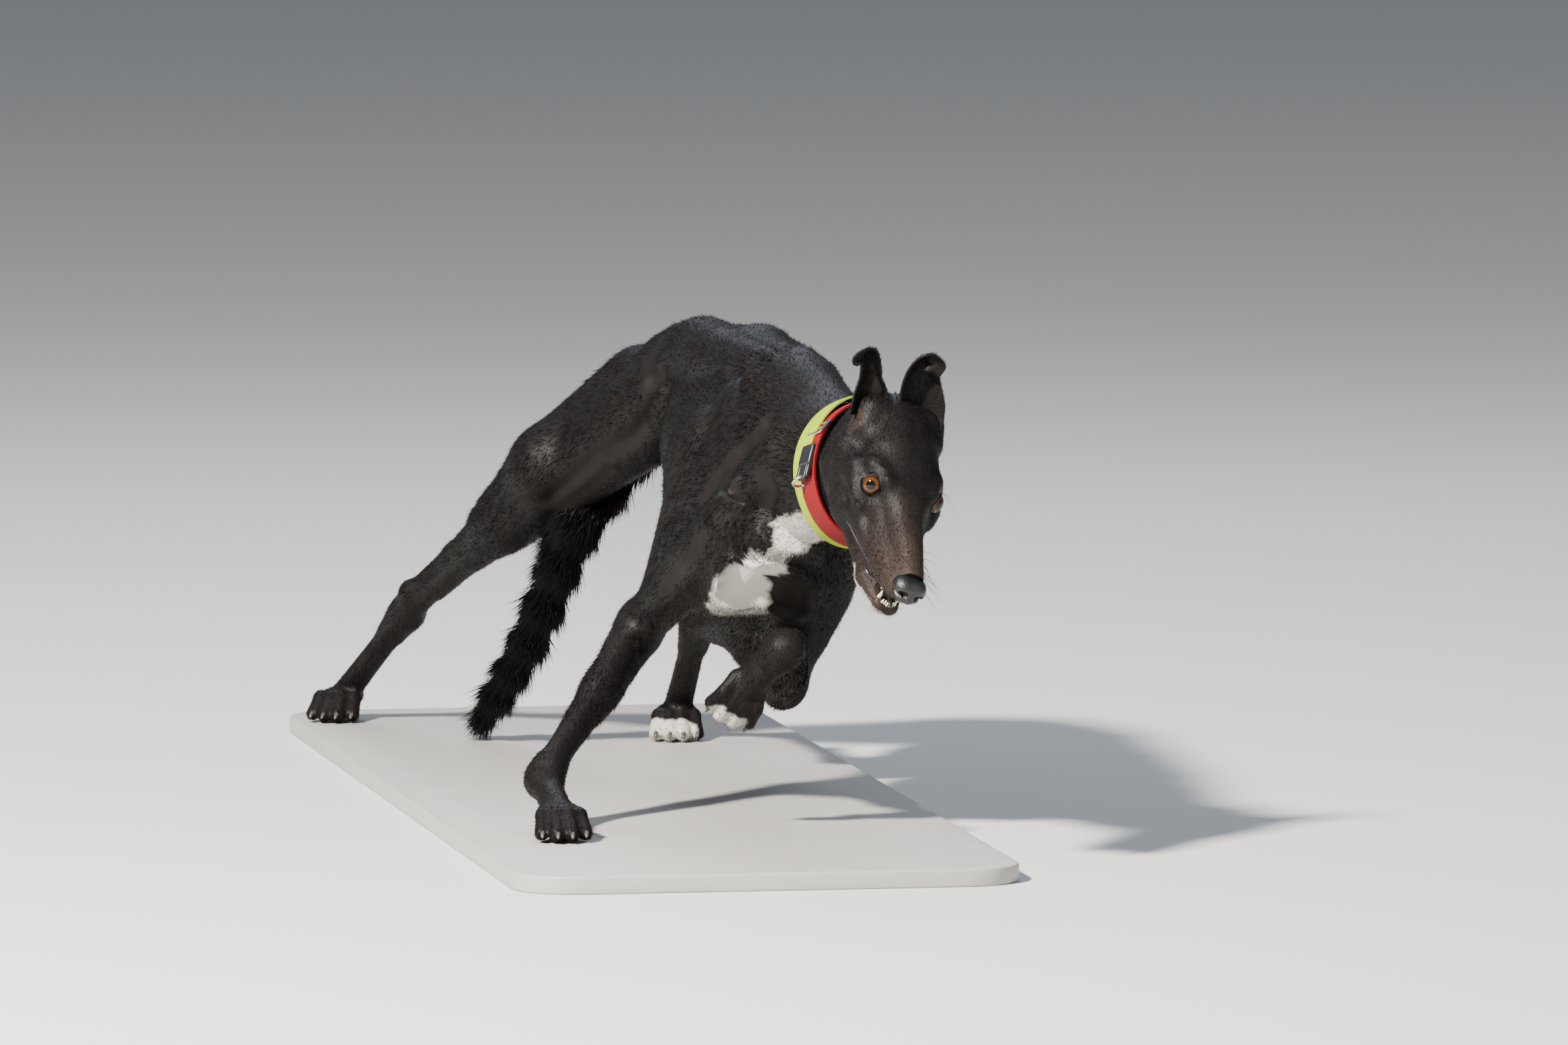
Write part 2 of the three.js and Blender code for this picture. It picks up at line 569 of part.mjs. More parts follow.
function slab(points) {
  const outline = new THREE.Shape(points.map(([x, z]) => new THREE.Vector2(x, z)));
  const form = new THREE.ExtrudeGeometry(outline, { depth: 200, bevelEnabled: false });
  form.translate(0, 0, -100);
  form.applyMatrix4(new THREE.Matrix4().makeRotationX(Math.PI / 2));
  form.applyMatrix4(skull.matrix);
  return solidOf(form);
}

for (const [side, s] of [['right', -1], ['left', 1]]) {
  const socket = at(1, s * 33, -4);
  const size = at(EYE_RADIUS, EYE_RADIUS, EYE_RADIUS);
  const wide = EYE_RADIUS + GAP;
  head = head.subtract(egg(skull, socket, at(wide, wide, wide), 10));
  add(`${side}_eye`, egg(skull, socket, size, 10), 0x5a3212, 0.15);
}
const noseAt = at(116, 0, -30);
head = head.subtract(egg(skull, noseAt, at(13.5 + GAP, 18 + GAP, 14 + GAP), 10));
add('nose', egg(skull, noseAt, at(13.5, 18, 14), 10), 0x0c0c0d, 0.35);

const CORNER = [4, -53];
const lowerZone = slab([[-58, -60.5], CORNER, [150, -59], [150, -150], [-58, -150]]);
const mouthGap = slab([[-58.3, -60.1], [4, -52.6], [150, -46], [150, -70], [4, -53.6],
  [-58.3, -60.8]]);
const behindJaw = slab([[-58.6, -60.3], [-58, -60.3], [-58, -160], [-58.6, -160]]);
add('lower_jaw', head.intersect(lowerZone).subtract(mouthGap).subtract(behindJaw), BLACK);
add('head', head.subtract(lowerZone).subtract(mouthGap).subtract(behindJaw), BLACK);

// Ears: thin cupped leaves, held up, with their tips folded over.
function ear(name, points, widths, cupSide) {
  const line = new THREE.CatmullRomCurve3(points);
  const form = new THREE.SphereGeometry(1, 10, 10);
  const place = form.attributes.position;
  const last = widths.length - 1;
  for (let i = 0; i < place.count; i += 1) {
    const [x, y, z] = [place.getX(i), place.getY(i), place.getZ(i)];
    const t = (y + 1) / 2;
    const round = Math.max(Math.hypot(x, z), 1e-6);
    const k = Math.min(Math.floor(t * last), last - 1);
    const w = THREE.MathUtils.lerp(widths[k], widths[k + 1], t * last - k);
    const run = line.getTangent(t);
    const face = cupSide.clone().addScaledVector(run, -cupSide.dot(run)).normalize();
    const across = new THREE.Vector3().crossVectors(run, face);
    const fade = Math.min(1, 4 * Math.sqrt(t * (1 - t)));
    const p = line.getPoint(t);
    p.addScaledVector(across, (x / round) * w * fade * Math.min(1, round * 3));
    p.addScaledVector(face, (z / round) * 2.6 * Math.min(1, round * 3)
      + 0.45 * w * fade * (x / round) ** 2);
    place.setXYZ(i, p.x, p.y, p.z);
  }
  let solid = solidOf(form);
  for (const other of taken) solid = solid.subtract(other);
  add(name, solid, BLACK);
}

ear('right_ear', [skull(-84, -34, 18), skull(-96, -38, 30), skull(-104, -44, 44), skull(-109, -50, 58),
  skull(-106, -60, 71), skull(-96, -70, 68), skull(-90, -72, 62)], [22, 18, 12, 11, 9, 8, 6], skull.forward);
ear('left_ear', [skull(-84, 18, 22), skull(-97, 14, 39), skull(-106, 5, 58), skull(-108, 0, 74),
  skull(-102, 0, 86), skull(-96, 8, 85), skull(-92, 14, 76)], [23, 23, 19, 15, 12, 9, 6], skull.forward);

// The flat base under the whole dog.
const corner = 60;
const plate = new THREE.Shape();
plate.moveTo(-BASE_LENGTH / 2 + corner, -BASE_WIDTH / 2);
for (const [x, y, turn] of [[1, -1, -0.5], [1, 1, 0], [-1, 1, 0.5], [-1, -1, 1]]) {
  plate.absarc(x * (BASE_LENGTH / 2 - corner), y * (BASE_WIDTH / 2 - corner), corner,
    Math.PI * turn, Math.PI * (turn + 0.5));
}
const base = new THREE.ExtrudeGeometry(plate,
  { depth: BASE_THICKNESS - GAP, bevelEnabled: false, curveSegments: 3 });
base.translate(BASE_CENTRE_X, BASE_CENTRE_Y, -BASE_THICKNESS);
add('stand_base', solidOf(base), 0x8a8378, 0.6);

// The origin is the middle of the base, on its underside.
group.position.set(-BASE_CENTRE_X, -BASE_CENTRE_Y, BASE_THICKNESS);
group.updateMatrixWorld(true);

export default group;
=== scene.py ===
"""A greyhound in a low running turn, shown as a life-size still model on a flat base.

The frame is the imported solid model, in metres: +X is the way the dog heads, +Y its left,
+Z up, and the origin is the middle of the base's underside.
"""
import math

import bpy
import numpy as np
from mathutils import Matrix, Vector


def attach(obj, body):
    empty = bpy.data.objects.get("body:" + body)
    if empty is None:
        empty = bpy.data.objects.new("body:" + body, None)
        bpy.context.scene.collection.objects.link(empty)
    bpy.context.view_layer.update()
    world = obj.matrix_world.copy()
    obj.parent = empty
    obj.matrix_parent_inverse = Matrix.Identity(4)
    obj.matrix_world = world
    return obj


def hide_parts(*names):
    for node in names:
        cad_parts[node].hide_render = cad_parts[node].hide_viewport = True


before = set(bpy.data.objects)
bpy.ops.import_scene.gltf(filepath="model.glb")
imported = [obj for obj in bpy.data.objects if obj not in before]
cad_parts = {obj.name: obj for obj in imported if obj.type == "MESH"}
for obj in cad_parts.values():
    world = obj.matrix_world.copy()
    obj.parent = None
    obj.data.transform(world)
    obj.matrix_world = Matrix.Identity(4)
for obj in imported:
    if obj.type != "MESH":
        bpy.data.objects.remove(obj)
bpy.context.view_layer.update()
bpy.ops.object.select_all(action="DESELECT")

# Frame of the body
# The dog's own measures are in millimetres from the ground under its withers, as the
# solids have them; MM and ORIGIN carry them into the frame of the base.
MM = 0.001
ORIGIN = np.array([290.0, 120.0, 18.0])


def at(x, y, z):
    return np.array([x, y, z], float)


def unit(v):
    v = np.asarray(v, float)
    return v / np.maximum(np.linalg.norm(v, axis=-1, keepdims=True), 1e-9)


class Bone:
    """A bony frame: x forward, y to the dog's left, z up, angles in degrees."""

    def __init__(self, x, y, z, yaw, pitch, roll):
        (cz, cy, cx), (sz, sy, sx) = (f(np.radians([yaw, pitch, roll])) for f in (np.cos, np.sin))
        self.turn = (np.array([[cz, -sz, 0], [sz, cz, 0], [0, 0, 1]])
                     @ np.array([[cy, 0, sy], [0, 1, 0], [-sy, 0, cy]])
                     @ np.array([[1, 0, 0], [0, cx, -sx], [0, sx, cx]]))
        self.origin = at(x, y, z)
        self.forward, self.left, self.up = self.turn.T

    def __call__(self, x, y, z):
        return self.origin + self.turn @ at(x, y, z)

    def local(self, points):
        return (points - self.origin) @ self.turn


chest = Bone(0, 0, 471, 0, -3.3, -13.5)
pelvis = Bone(-531, -20, 340, -1.3, 7.1, -17.6)
skull = Bone(360, 34, 356, 1, 36.5, -21.4)

fore_right = dict(
    blade=at(6, -29, 458), shoulder=at(91, -87, 299), elbow=at(-77, -154, 181),
    point=at(-110, -141, 196), wrist=at(75, -278, 50), knuckle=at(160, -276, 24),
    toes=at(222, -280, 10), out=at(-0.2, -0.9, 0.3), front=at(0.4, -0.2, 0.9))
fore_left = dict(
    blade=at(10, 19, 439), shoulder=at(93, 8, 267), elbow=at(-61, -11, 127),
    point=at(-96, -9, 128), wrist=at(168, -50, 184), knuckle=at(140, -82, 147),
    toes=at(128, -102, 111), out=at(0, 0.95, -0.2), front=at(0.6, -0.45, 0.6))
hind_right = dict(
    hip=at(-530, -72, 356), knee=at(-688, -187, 240), hock=at(-899, -265, 120),
    heel=at(-868, -267, 147), knuckle=at(-998, -318, 24), toes=at(-952, -338, 10),
    out=at(0.2, -0.75, 0.6), front=at(0.5, 0.1, -0.85))
hind_left = dict(
    hip=at(-532, 33, 323), knee=at(-385, 25, 140), hock=at(-634, 0, 128),
    heel=at(-608, 2, 160), knuckle=at(-750, -3, 26), toes=at(-698, -12, 10),
    out=at(0, 0.95, -0.25), front=at(0.5, 0, -0.85))

# Camera
# A long lens sixteen metres off and low, nearly in front of the dog.
CAMERA_AT = Vector((15.931, -2.673, 1.757))
CAMERA_AIM = Vector((0.241, 0.107, 0.306))
LENS_MM = 367.2
bpy.ops.object.camera_add(location=CAMERA_AT)
camera = bpy.context.object
camera.rotation_euler = (CAMERA_AIM - CAMERA_AT).to_track_quat("-Z", "Y").to_euler()
camera.data.lens = LENS_MM
camera.data.sensor_width = 36.0
camera.data.clip_end = 100.0
bpy.context.scene.camera = camera

# Flesh
# The muscles as a smooth field of tapered masses, the same as the solids are drawn
# from, with more detail. Each mass also says which way the coat lies over it. The
# blends are how softly masses run together: muscles, toes, and a toe with its foot.
BLEND = 5.0
TOE_BLEND = 1.6
MEET_BLEND = 2.5
masses = []
lie_sign = 1.0


def mass(a, b, ra, rb, flat=1.0, side=(0, 1, 0)):
    masses.append((at(*a), at(*b), ra, rb, flat, unit(side), lie_sign))


def mid(a, b, t):
    return a + (b - a) * t


def shift(a, way, distance):
    return a + unit(way) * distance


mass(chest(-45, 0, -158), chest(-150, 0, -146), 136, 124, 0.6, chest.left)
mass(chest(-150, 0, -138), chest(-275, 0, -108), 122, 92, 0.7, chest.left)
mass(chest(-275, 0, -106), pelvis(90, 0, 52), 90, 66, 0.84, chest.left)
mass(pelvis(95, 0, 50), pelvis(-30, 0, 35), 64, 66, 0.9, pelvis.left)
mass(pelvis(-30, 0, 35), pelvis(-78, 0, 40), 55, 36)
mass(chest(112, 0, -226), chest(-60, 0, -274), 27, 22)
mass(chest(-60, 0, -274), chest(-190, 0, -238), 22, 14)
mass(chest(8, 0, -22), chest(-120, 0, -18), 17, 16)
mass(chest(-110, 0, -26), chest(-270, 6, -20), 22, 34)
mass(chest(-270, 6, -20), pelvis(80, 4, 98), 34, 34)
for s in (-1, 1):
    mass(chest(-50, s * 28, -34), chest(-250, s * 34, -32), 26, 34)
    mass(chest(-250, s * 34, -32), pelvis(85, s * 34, 92), 34, 38)
    mass(pelvis(88, s * 38, 92), pelvis(-20, s * 40, 50), 34, 40)
    mass(pelvis(20, s * 34, 80), pelvis(-80, s * 26, 45), 34, 28)
    mass(chest(96, s * 24, -238), chest(5, s * 36, -262), 33, 26)
    mass(pelvis(-30, s * 40, 20), pelvis(-88, s * 36, 10), 38, 28)

for leg, s in ((fore_right, -1), (fore_left, 1)):
    sh, el, wr, kn = leg["shoulder"], leg["elbow"], leg["wrist"], leg["knuckle"]
    out, front, point = leg["out"], leg["front"], leg["point"]
    mass(mid(leg["blade"], sh, 0.12), sh, 16, 32, 0.7, chest.left)
    mass(chest(-28, s * 52, -78), sh, 30, 34, 0.62, chest.left)
    mass(chest(-62, s * 66, -120), point, 42, 20, 0.66, out)
    mass(mid(sh, el, 0.1), el, 40, 26, 0.8, out)
    mass(shift(mid(sh, el, 0.25), out, 10), point, 32, 20, 0.75, out)
    mass(shift(sh, chest.forward, 4), mid(sh, el, 0.6), 33, 26)
    mass(at(150, -8 + s * 40, 372), shift(sh, out, 4), 26, 30)
    mass(el, point, 21, 13)
    mass(shift(el, front, 8), mid(el, wr, 0.42), 27, 22, 0.85, out)
    mass(mid(el, wr, 0.4), wr, 21, 14.5, 0.95, out)
    mass(shift(el, front, -10), shift(mid(el, wr, 0.5), front, -10), 21, 13, 0.85, out)
    mass(point, shift(mid(el, wr, 0.35), front, -14), 11, 11)
    mass(mid(el, wr, 0.93), mid(wr, kn, 0.15), 18, 18, 0.9, front)
    mass(shift(wr, front, -14), mid(wr, kn, 0.1), 11, 13)
    mass(wr, kn, 16 if s < 0 else 20, 17 if s < 0 else 20, 0.8, front)

for leg, s in ((hind_right, -1), (hind_left, 1)):
    hip, kne, hock, heel = leg["hip"], leg["knee"], leg["hock"], leg["heel"]
    out, front, kn = leg["out"], leg["front"], leg["knuckle"]
    crest = pelvis(82, s * 44, 92)
    seat = pelvis(-84, s * 42, 12)
    bulge = shift(mid(hip, kne, 0.6), out, 20)
    mass(hip, kne, 62, 38, 0.8, out)
    mass(crest, mid(hip, kne, 0.75), 32, 34, 0.75, out)
    mass(mid(crest, hip, 0.5), kne, 42, 28, 0.8, out)
    mass(shift(seat, out, 12), bulge, 44, 44, 0.95, out)
    mass(bulge, shift(mid(kne, hock, 0.12), out, 6), 44, 27)
    mass(seat, mid(kne, hock, 0.34), 34, 20, 0.8, out)
    mass(kne, mid(kne, hock, 0.12), 31, 27, 0.85, out)
    mass(shift(kne, front, 6), mid(kne, hock, 0.1), 24, 22)
    mass(mid(kne, hock, 0.05), shift(mid(kne, hock, 0.5), front, -6), 30, 18, 0.8, out)
    mass(shift(kne, front, -14), shift(mid(kne, hock, 0.5), front, -14), 25, 12, 0.8, out)
    mass(mid(kne, hock, 0.1), mid(kne, hock, 0.7), 24, 14)
    mass(mid(kne, hock, 0.6), hock, 14, 17, 0.85, out)
    mass(shift(mid(kne, hock, 0.5), front, -18), heel, 8, 8.5)
    mass(hock, heel, 17, 12, 0.8, out)
    mass(hock, mid(hock, kn, 0.2), 18, 15)
    mass(hock, kn, 14.5, 16.5, 0.85, front)

# Toes: four to a foot, arched, and the pad behind them.
TOE_RADIUS = 9.5
toe_tips = {}
toe_start = len(masses)
for name, leg, planted in (("right_fore", fore_right, True), ("left_fore", fore_left, False),
                           ("right_hind", hind_right, True), ("left_hind", hind_left, True)):
    kn = leg["knuckle"]
    ahead = leg["toes"] - kn
    across = unit(np.cross(at(0, 0, 1) if planted else at(0.96, -0.1, -0.26), ahead))
    rise = unit(np.cross(ahead, across))
    tips = []
    for i in range(4):
        spread = i - 1.5
        size = 1.0 if abs(spread) < 1 else 0.84
        root = kn + across * spread * 9.5
        tip = kn + ahead * size + across * spread * 14.5
        if planted:
            tip[2] = TOE_RADIUS - 1
        arch = mid(root, tip, 0.5) + rise * 8
        r = TOE_RADIUS * (1.0 if size == 1 else 0.94)
        mass(root, arch, r, r)
        mass(arch, tip, r, r)
        tips.append(tip)
    pad = mid(kn, leg["toes"], 0.16) - rise * 11
    if planted:
        pad[2] = 7.5
    mass(pad - across * 8, pad + across * 8, 8, 8)
    toe_tips[name] = tips

toe_end = len(masses)

# Neck and head masses run from the body forward, so the coat lies against them.
lie_sign = -1.0
mass(at(52, -26, 366), at(150, -8, 356), 102, 74, 0.6, chest.left)
mass(at(140, -8, 357), at(226, 18, 354), 74, 60, 0.9, skull.left)
mass(at(226, 18, 354), skull(-90, 0, -24), 59, 50, 0.92, skull.left)
mass(chest(2, 0, -30), at(220, 20, 376), 26, 32)
mass(skull(-72, 0, 0), skull(-40, 0, -2), 41, 39, 0.98, skull.left)
mass(skull(-40, 0, -2), skull(6, 0, -14), 36, 29, 1.1, skull.left)
mass(skull(0, 0, -22), skull(106, 0, -34), 32, 16, 0.92, skull.left)
mass(skull(-10, 0, 2), skull(112, 0, -21), 17, 11)
mass(skull(-100, 0, 14), skull(-60, 0, 24), 20, 16)
for s in (-1, 1):
    mass(skull(-70, s * 40, -18), skull(-6, s * 38, -20), 18, 11)
    mass(skull(-72, s * 34, -44), skull(-24, s * 28, -56), 24, 20)
    mass(skull(-16, s * 32, 6), skull(6, s * 26, 8), 10, 8)
    mass(skull(-6, s * 26, -42), skull(100, s * 10, -40), 17, 11)
    mass(skull(-56, s * 24, -62), skull(60, s * 15, -70), 15, 11)
    mass(skull(60, s * 15, -71), skull(92, s * 7, -74), 11, 9)
    mass(skull(-30, s * 44, -8), skull(10, s * 38, -24), 9, 7)
    mass(skull(-58, s * 41, -30), skull(-30, s * 38, -40), 14, 12)
    mass(skull(-84, s * 30, 18), skull(-70, s * 34, 10), 20, 16)

# The tail's flesh is thinner than its brush.
lie_sign = 1.0
TAIL_POINTS = [pelvis(-70, 0, 52), at(-628, -40, 350), at(-606, -128, 238),
               at(-668, -170, 115), at(-748, -205, 27)]


def smooth_line(points, count):
    """Points along a Catmull-Rom line through the given places."""
    pts = [2 * points[0] - points[1]] + list(points) + [2 * points[-1] - points[-2]]
    out = []
    for i in range(count):
        u = i / (count - 1) * (len(points) - 1)
        k = min(int(u), len(points) - 2)
        t = u - k
        p0, p1, p2, p3 = pts[k:k + 4]
        out.append(0.5 * (2 * p1 + (p2 - p0) * t + (2 * p0 - 5 * p1 + 4 * p2 - p3) * t * t
                          + (3 * p1 - p0 - 3 * p2 + p3) * t ** 3))
    return np.array(out)


tail_line = smooth_line(TAIL_POINTS, 13)
tail_dense = smooth_line(TAIL_POINTS, 61)
for i in range(12):
    t = i / 12
    mass(tail_line[i], tail_line[i + 1], 23 - 14 * t, 23 - 14 * (t + 1 / 12))

START = np.array([m[0] for m in masses])
RUN = np.array([m[1] - m[0] for m in masses])
RUN_SQUARED = np.maximum((RUN ** 2).sum(1), 0.01)
RADIUS = np.array([m[2] for m in masses], float)
WIDENING = np.array([m[3] - m[2] for m in masses], float)
FLAT = np.array([1 / m[4] - 1 for m in masses])
SIDE = np.array([m[5] for m in masses])
LIE = unit(RUN) * np.array([m[6] for m in masses])[:, None]
IS_TOE = (np.arange(len(masses)) >= toe_start) & (np.arange(len(masses)) < toe_end)
AT_ONCE = 20000


def flesh(points, depth=0.0):
    """Field value, its slope and the lie of the coat at points, all in millimetres."""
    value = np.empty(len(points))
    slope = np.empty((len(points), 3))
    lie = np.empty((len(points), 3))
    for start in range(0, len(points), AT_ONCE):
        p = points[start:start + AT_ONCE]
        q = p[:, None, :] - START[None]
        t = np.clip((q * RUN[None]).sum(2) / RUN_SQUARED, 0, 1)
        q = q - t[..., None] * RUN[None]
        s = (q * SIDE[None]).sum(2) * FLAT
        q = q + s[..., None] * SIDE[None]
        length = np.maximum(np.linalg.norm(q, axis=2), 1e-6)
        d = length - RADIUS - t * WIDENING
        g = q / length[..., None]
        g = g + ((g * SIDE[None]).sum(2) * FLAT)[..., None] * SIDE[None]
        low = d.min(1, keepdims=True)
        w = np.exp(-(d - low) / BLEND) * ~IS_TOE
        w_toe = np.exp(np.maximum(-(d - low) / TOE_BLEND, -600)) * IS_TOE
        total = w.sum(1, keepdims=True) + 1e-200
        total_toe = w_toe.sum(1, keepdims=True) + 1e-200
        body = low - BLEND * np.log(total)
        toe = low - TOE_BLEND * np.log(total_toe)
        near = np.minimum(body, toe)
        e_body = np.exp(-(body - near) / MEET_BLEND)
        e_toe = np.exp(-(toe - near) / MEET_BLEND)
        joined = near - MEET_BLEND * np.log(e_body + e_toe)
        value[start:start + len(p)] = joined[:, 0] + depth
        w = (w / total * e_body + w_toe / total_toe * e_toe) / (e_body + e_toe)
        slope[start:start + len(p)] = (w[..., None] * g).sum(1)
        wide = np.exp(-(d - low) / (BLEND * 3))
        lie[start:start + len(p)] = (wide[..., None] * LIE[None]).sum(1)
    return value, slope, unit(lie)


# Skin
# The hide, one thin skin over all the flesh: the solids joined and remeshed, finer on
# the head and feet, then drawn onto the muscles, inside the solids by the coat's depth.
COAT_DEPTH = 2.0
VOXEL = 0.0050
MEET_SWELL = 0.0006
FLESH_NODES = ["head", "lower_jaw", "neck", "trunk", "tail"]
for side in ("right", "left"):
    FLESH_NODES += [f"{side}_{part}" for part in
                    ("upper_arm", "forearm", "thigh", "shank", "fore_foot", "hind_foot")]


def copy_nodes(names, new_name, grow=MEET_SWELL):
    """The named solids as one new object, each a little swollen so that they meet."""
    copies = []
    for name in names:
        twin = bpy.data.objects[name].copy()
        twin.data = twin.data.copy()
        bpy.context.collection.objects.link(twin)
        twin.hide_set(False)
        copies.append(twin)
    bpy.ops.object.select_all(action="DESELECT")
    for twin in copies:
        twin.select_set(True)
    bpy.context.view_layer.objects.active = copies[0]
    if len(copies) > 1:
        bpy.ops.object.join()
    whole = bpy.context.object
    whole.name = new_name
    whole.data.materials.clear()
    for key in list(whole.keys()):
        del whole[key]
    bpy.ops.object.mode_set(mode="EDIT")
    bpy.ops.mesh.select_all(action="SELECT")
    bpy.ops.mesh.remove_doubles(threshold=1e-6)
    if grow:
        bpy.ops.transform.shrink_fatten(value=grow)
    bpy.ops.object.mode_set(mode="OBJECT")
    return whole


def pick(obj):
    """Makes an object the only selected one, and the active one."""
    bpy.ops.object.select_all(action="DESELECT")
    obj.select_set(True)
    bpy.context.view_layer.objects.active = obj


def apply_modifier(obj, kind, **settings):
    """Adds a modifier to an object, sets it and applies it."""
    bpy.context.view_layer.objects.active = obj
    modifier = obj.modifiers.new(kind.lower(), kind)
    for key, value in settings.items():
        setattr(modifier, key, value)
    bpy.ops.object.modifier_apply(modifier=modifier.name)


def raw_points(obj):
    """Where a mesh's vertices are, in its own units."""
    flat = np.empty(len(obj.data.vertices) * 3)
    obj.data.vertices.foreach_get("co", flat)
    return flat.reshape(-1, 3)


def points_of(obj):
    return raw_points(obj) / MM - ORIGIN


def put_points(obj, points):
    """Moves a mesh's vertices to points in the dog's millimetres."""
    obj.data.vertices.foreach_set("co", ((points + ORIGIN) * MM).ravel())
    obj.data.update()


def select_faces(obj, test):
    """Selects the faces whose centres, in millimetres, pass the test."""
    mesh = obj.data
    flat = np.empty(len(mesh.polygons) * 3)
    mesh.polygons.foreach_get("center", flat)
    chosen = test(flat.reshape(-1, 3) / MM - ORIGIN)
    for kind in (mesh.vertices, mesh.edges, mesh.polygons):
        kind.foreach_set("select", np.zeros(len(kind), bool))
    mesh.polygons.foreach_set("select", chosen)
    mesh.update()


skin = copy_nodes(FLESH_NODES, "skin")
apply_modifier(skin, "REMESH", mode="VOXEL", voxel_size=VOXEL)

EYE_RADIUS = 11.5
EYES = {s: skull(1, s * 33, -4) for s in (-1, 1)}
FEET = [leg["knuckle"] for leg in (fore_right, fore_left, hind_right, hind_left)]
HEAD_REACH = 175
FOOT_REACH = 85
EYE_REACH = 24


def distance_to(points, places):
    """How far each point is from the nearest of the places."""
    return np.min([np.linalg.norm(points - place, axis=1) for place in places], axis=0)


def near_head_or_feet(points):
    local = skull.local(points)
    head = (local[:, 0] > -70) & (np.linalg.norm(local, axis=1) < HEAD_REACH)
    return head | (distance_to(points, FEET) < FOOT_REACH)


def near_eyes(points):
    return distance_to(points, EYES.values()) < EYE_REACH


def subdivide_where(obj, test):
    select_faces(obj, test)
    bpy.ops.object.mode_set(mode="EDIT")
    bpy.ops.mesh.select_mode(type="FACE")
    bpy.ops.mesh.subdivide(number_cuts=1)
    bpy.ops.object.mode_set(mode="OBJECT")


subdivide_where(skin, near_head_or_feet)
subdivide_where(skin, near_eyes)

# The walls of the mouth and the sockets are left where the solids have them. The tail's
# solid is as wide as its brush, so its skin is drawn in from farther off.
SKIN_CATCH = 9
TAIL_CATCH = 30
TAIL_REACH = 45
SKIN_STEP, TAIL_STEP = 4, 9
p = points_of(skin)
for step in range(4):
    value, slope, _ = flesh(p, COAT_DEPTH)
    if step == 0:
        on_skin = np.abs(value) < SKIN_CATCH
        mouth = skull.local(p)
        on_skin &= ~((mouth[:, 0] > 0) & (value < -2.5) & (mouth[:, 2] < -40))
        on_skin &= ~((value < -3) & near_eyes(p))
        on_tail = distance_to(p, tail_dense) < TAIL_REACH
        on_tail &= (value > -SKIN_CATCH) & (value < TAIL_CATCH)
        on_skin |= on_tail
    reach = np.where(on_tail, TAIL_STEP, SKIN_STEP)
    move = np.clip(value / np.maximum((slope ** 2).sum(1), 0.05), -reach, reach)
    move[~on_skin] = 0
    p = p - slope * move[:, None]

# Hollows between the muscles, each a line pressed into the skin: points, depth, width.
HOLLOWS = [
    ([(-444, -72, 403), (-457, -75, 368), (-479, -95, 338), (-522, -127, 315),
      (-564, -149, 283), (-589, -165, 262)], 6.0, 11),
    ([(-484, -58, 440), (-470, -72, 415), (-452, -75, 385)], 5.0, 12),
    ([(-519, -113, 301), (-552, -127, 279), (-610, -160, 245)], 3.5, 9),
    ([(-640, -130, 300), (-690, -180, 262), (-745, -205, 222)], 2.5, 10),
    ([(70, -89, 361), (50, -98, 342), (35, -106, 321)], 5.0, 10),
    ([(98, -70, 385), (70, -89, 361), (85, -96, 335), (104, -98, 305)], 3.0, 9),
    ([(112, -59, 401), (150, -66, 365), (169, -66, 341), (150, -76, 312),
      (133, -81, 274)], 5.0, 11),
    ([(102, -122, 290), (66, -135, 259), (20, -150, 230)], 4.0, 9),
    ([(60, -118, 300), (10, -140, 262), (-30, -150, 232)], 2.5, 8),
    ([(140, -56, 300), (147, -43, 262), (139, -40, 240)], 4.0, 9),
    ([(-25, -157, 195), (-35, -161, 166)], 3.0, 8),
    ([(-800, -240, 180), (-850, -258, 158), (-885, -268, 138)], 2.5, 6),
    ([(-880, -268, 110), (-930, -290, 78), (-980, -312, 40)], 1.8, 5),
]
HOLLOWS.append(([skull(-60, 0, 40), skull(-20, 0, 22), skull(20, 0, 8), skull(60, 0, -4)], 2.0, 7))
for line, depth, width in (([(12, 26, -4), (40, 22, -16), (80, 13, -24)], 1.2, 6),
                           ([(10, 38, -22), (40, 28, -36), (70, 22, -40)], 1.6, 6),
                           ([(-44, 46, 6), (-20, 44, -16), (-10, 42, -34)], 2.4, 7),
                           ([(-80, 52, -6), (-66, 52, -34), (-40, 46, -58)], 3.0, 7)):
    HOLLOWS += [([skull(x, s * y, z) for x, y, z in line], depth, width) for s in (-1, 1)]
PRESS = 1.3
MOST_PRESS = 8
RIBS_AT = (-150, -150)
RIBS_HALF = (110, 90)
RIB_PITCH = 30
RIB_SLANT = 0.45
LOWEST_SKIN = 0.4


def line_distance(points, line):
    """Nearest distance from points to a line through the given places."""
    best = np.full(len(points), 1e9)
    for a, b in zip(line[:-1], line[1:]):
        a, b = np.array(a, float), np.array(b, float)
        t = np.clip(((points - a) @ (b - a)) / ((b - a) @ (b - a)), 0, 1)
        best = np.minimum(best, np.linalg.norm(points - a - t[:, None] * (b - a), axis=1))
    return best


out_way = unit(flesh(p, COAT_DEPTH)[1])
press = np.zeros(len(p))
for line, depth, width in HOLLOWS:
    press += PRESS * depth * np.exp(-(line_distance(p, line) / width) ** 2)
along, _, high = chest.local(p).T
rib = (np.clip(1 - np.abs(along - RIBS_AT[0]) / RIBS_HALF[0], 0, 1)
       * np.clip(1 - np.abs(high - RIBS_AT[1]) / RIBS_HALF[1], 0, 1))
press += PRESS * rib * np.sin((along - RIB_SLANT * high) * 2 * math.pi / RIB_PITCH)
press[~on_skin] = 0
p = p - out_way * np.minimum(press, MOST_PRESS)[:, None]
p[:, 2] = np.maximum(p[:, 2], LOWEST_SKIN)
put_points(skin, p)

# Lids: the skin round each eye is laid on the eyeball, and opens in an almond.
LID_THICKNESS = 1.3
LID_SINK = 1.8
LID_REACH = 21
LID_FADE = 5
OPENING_HALF = (1.16, 0.84)


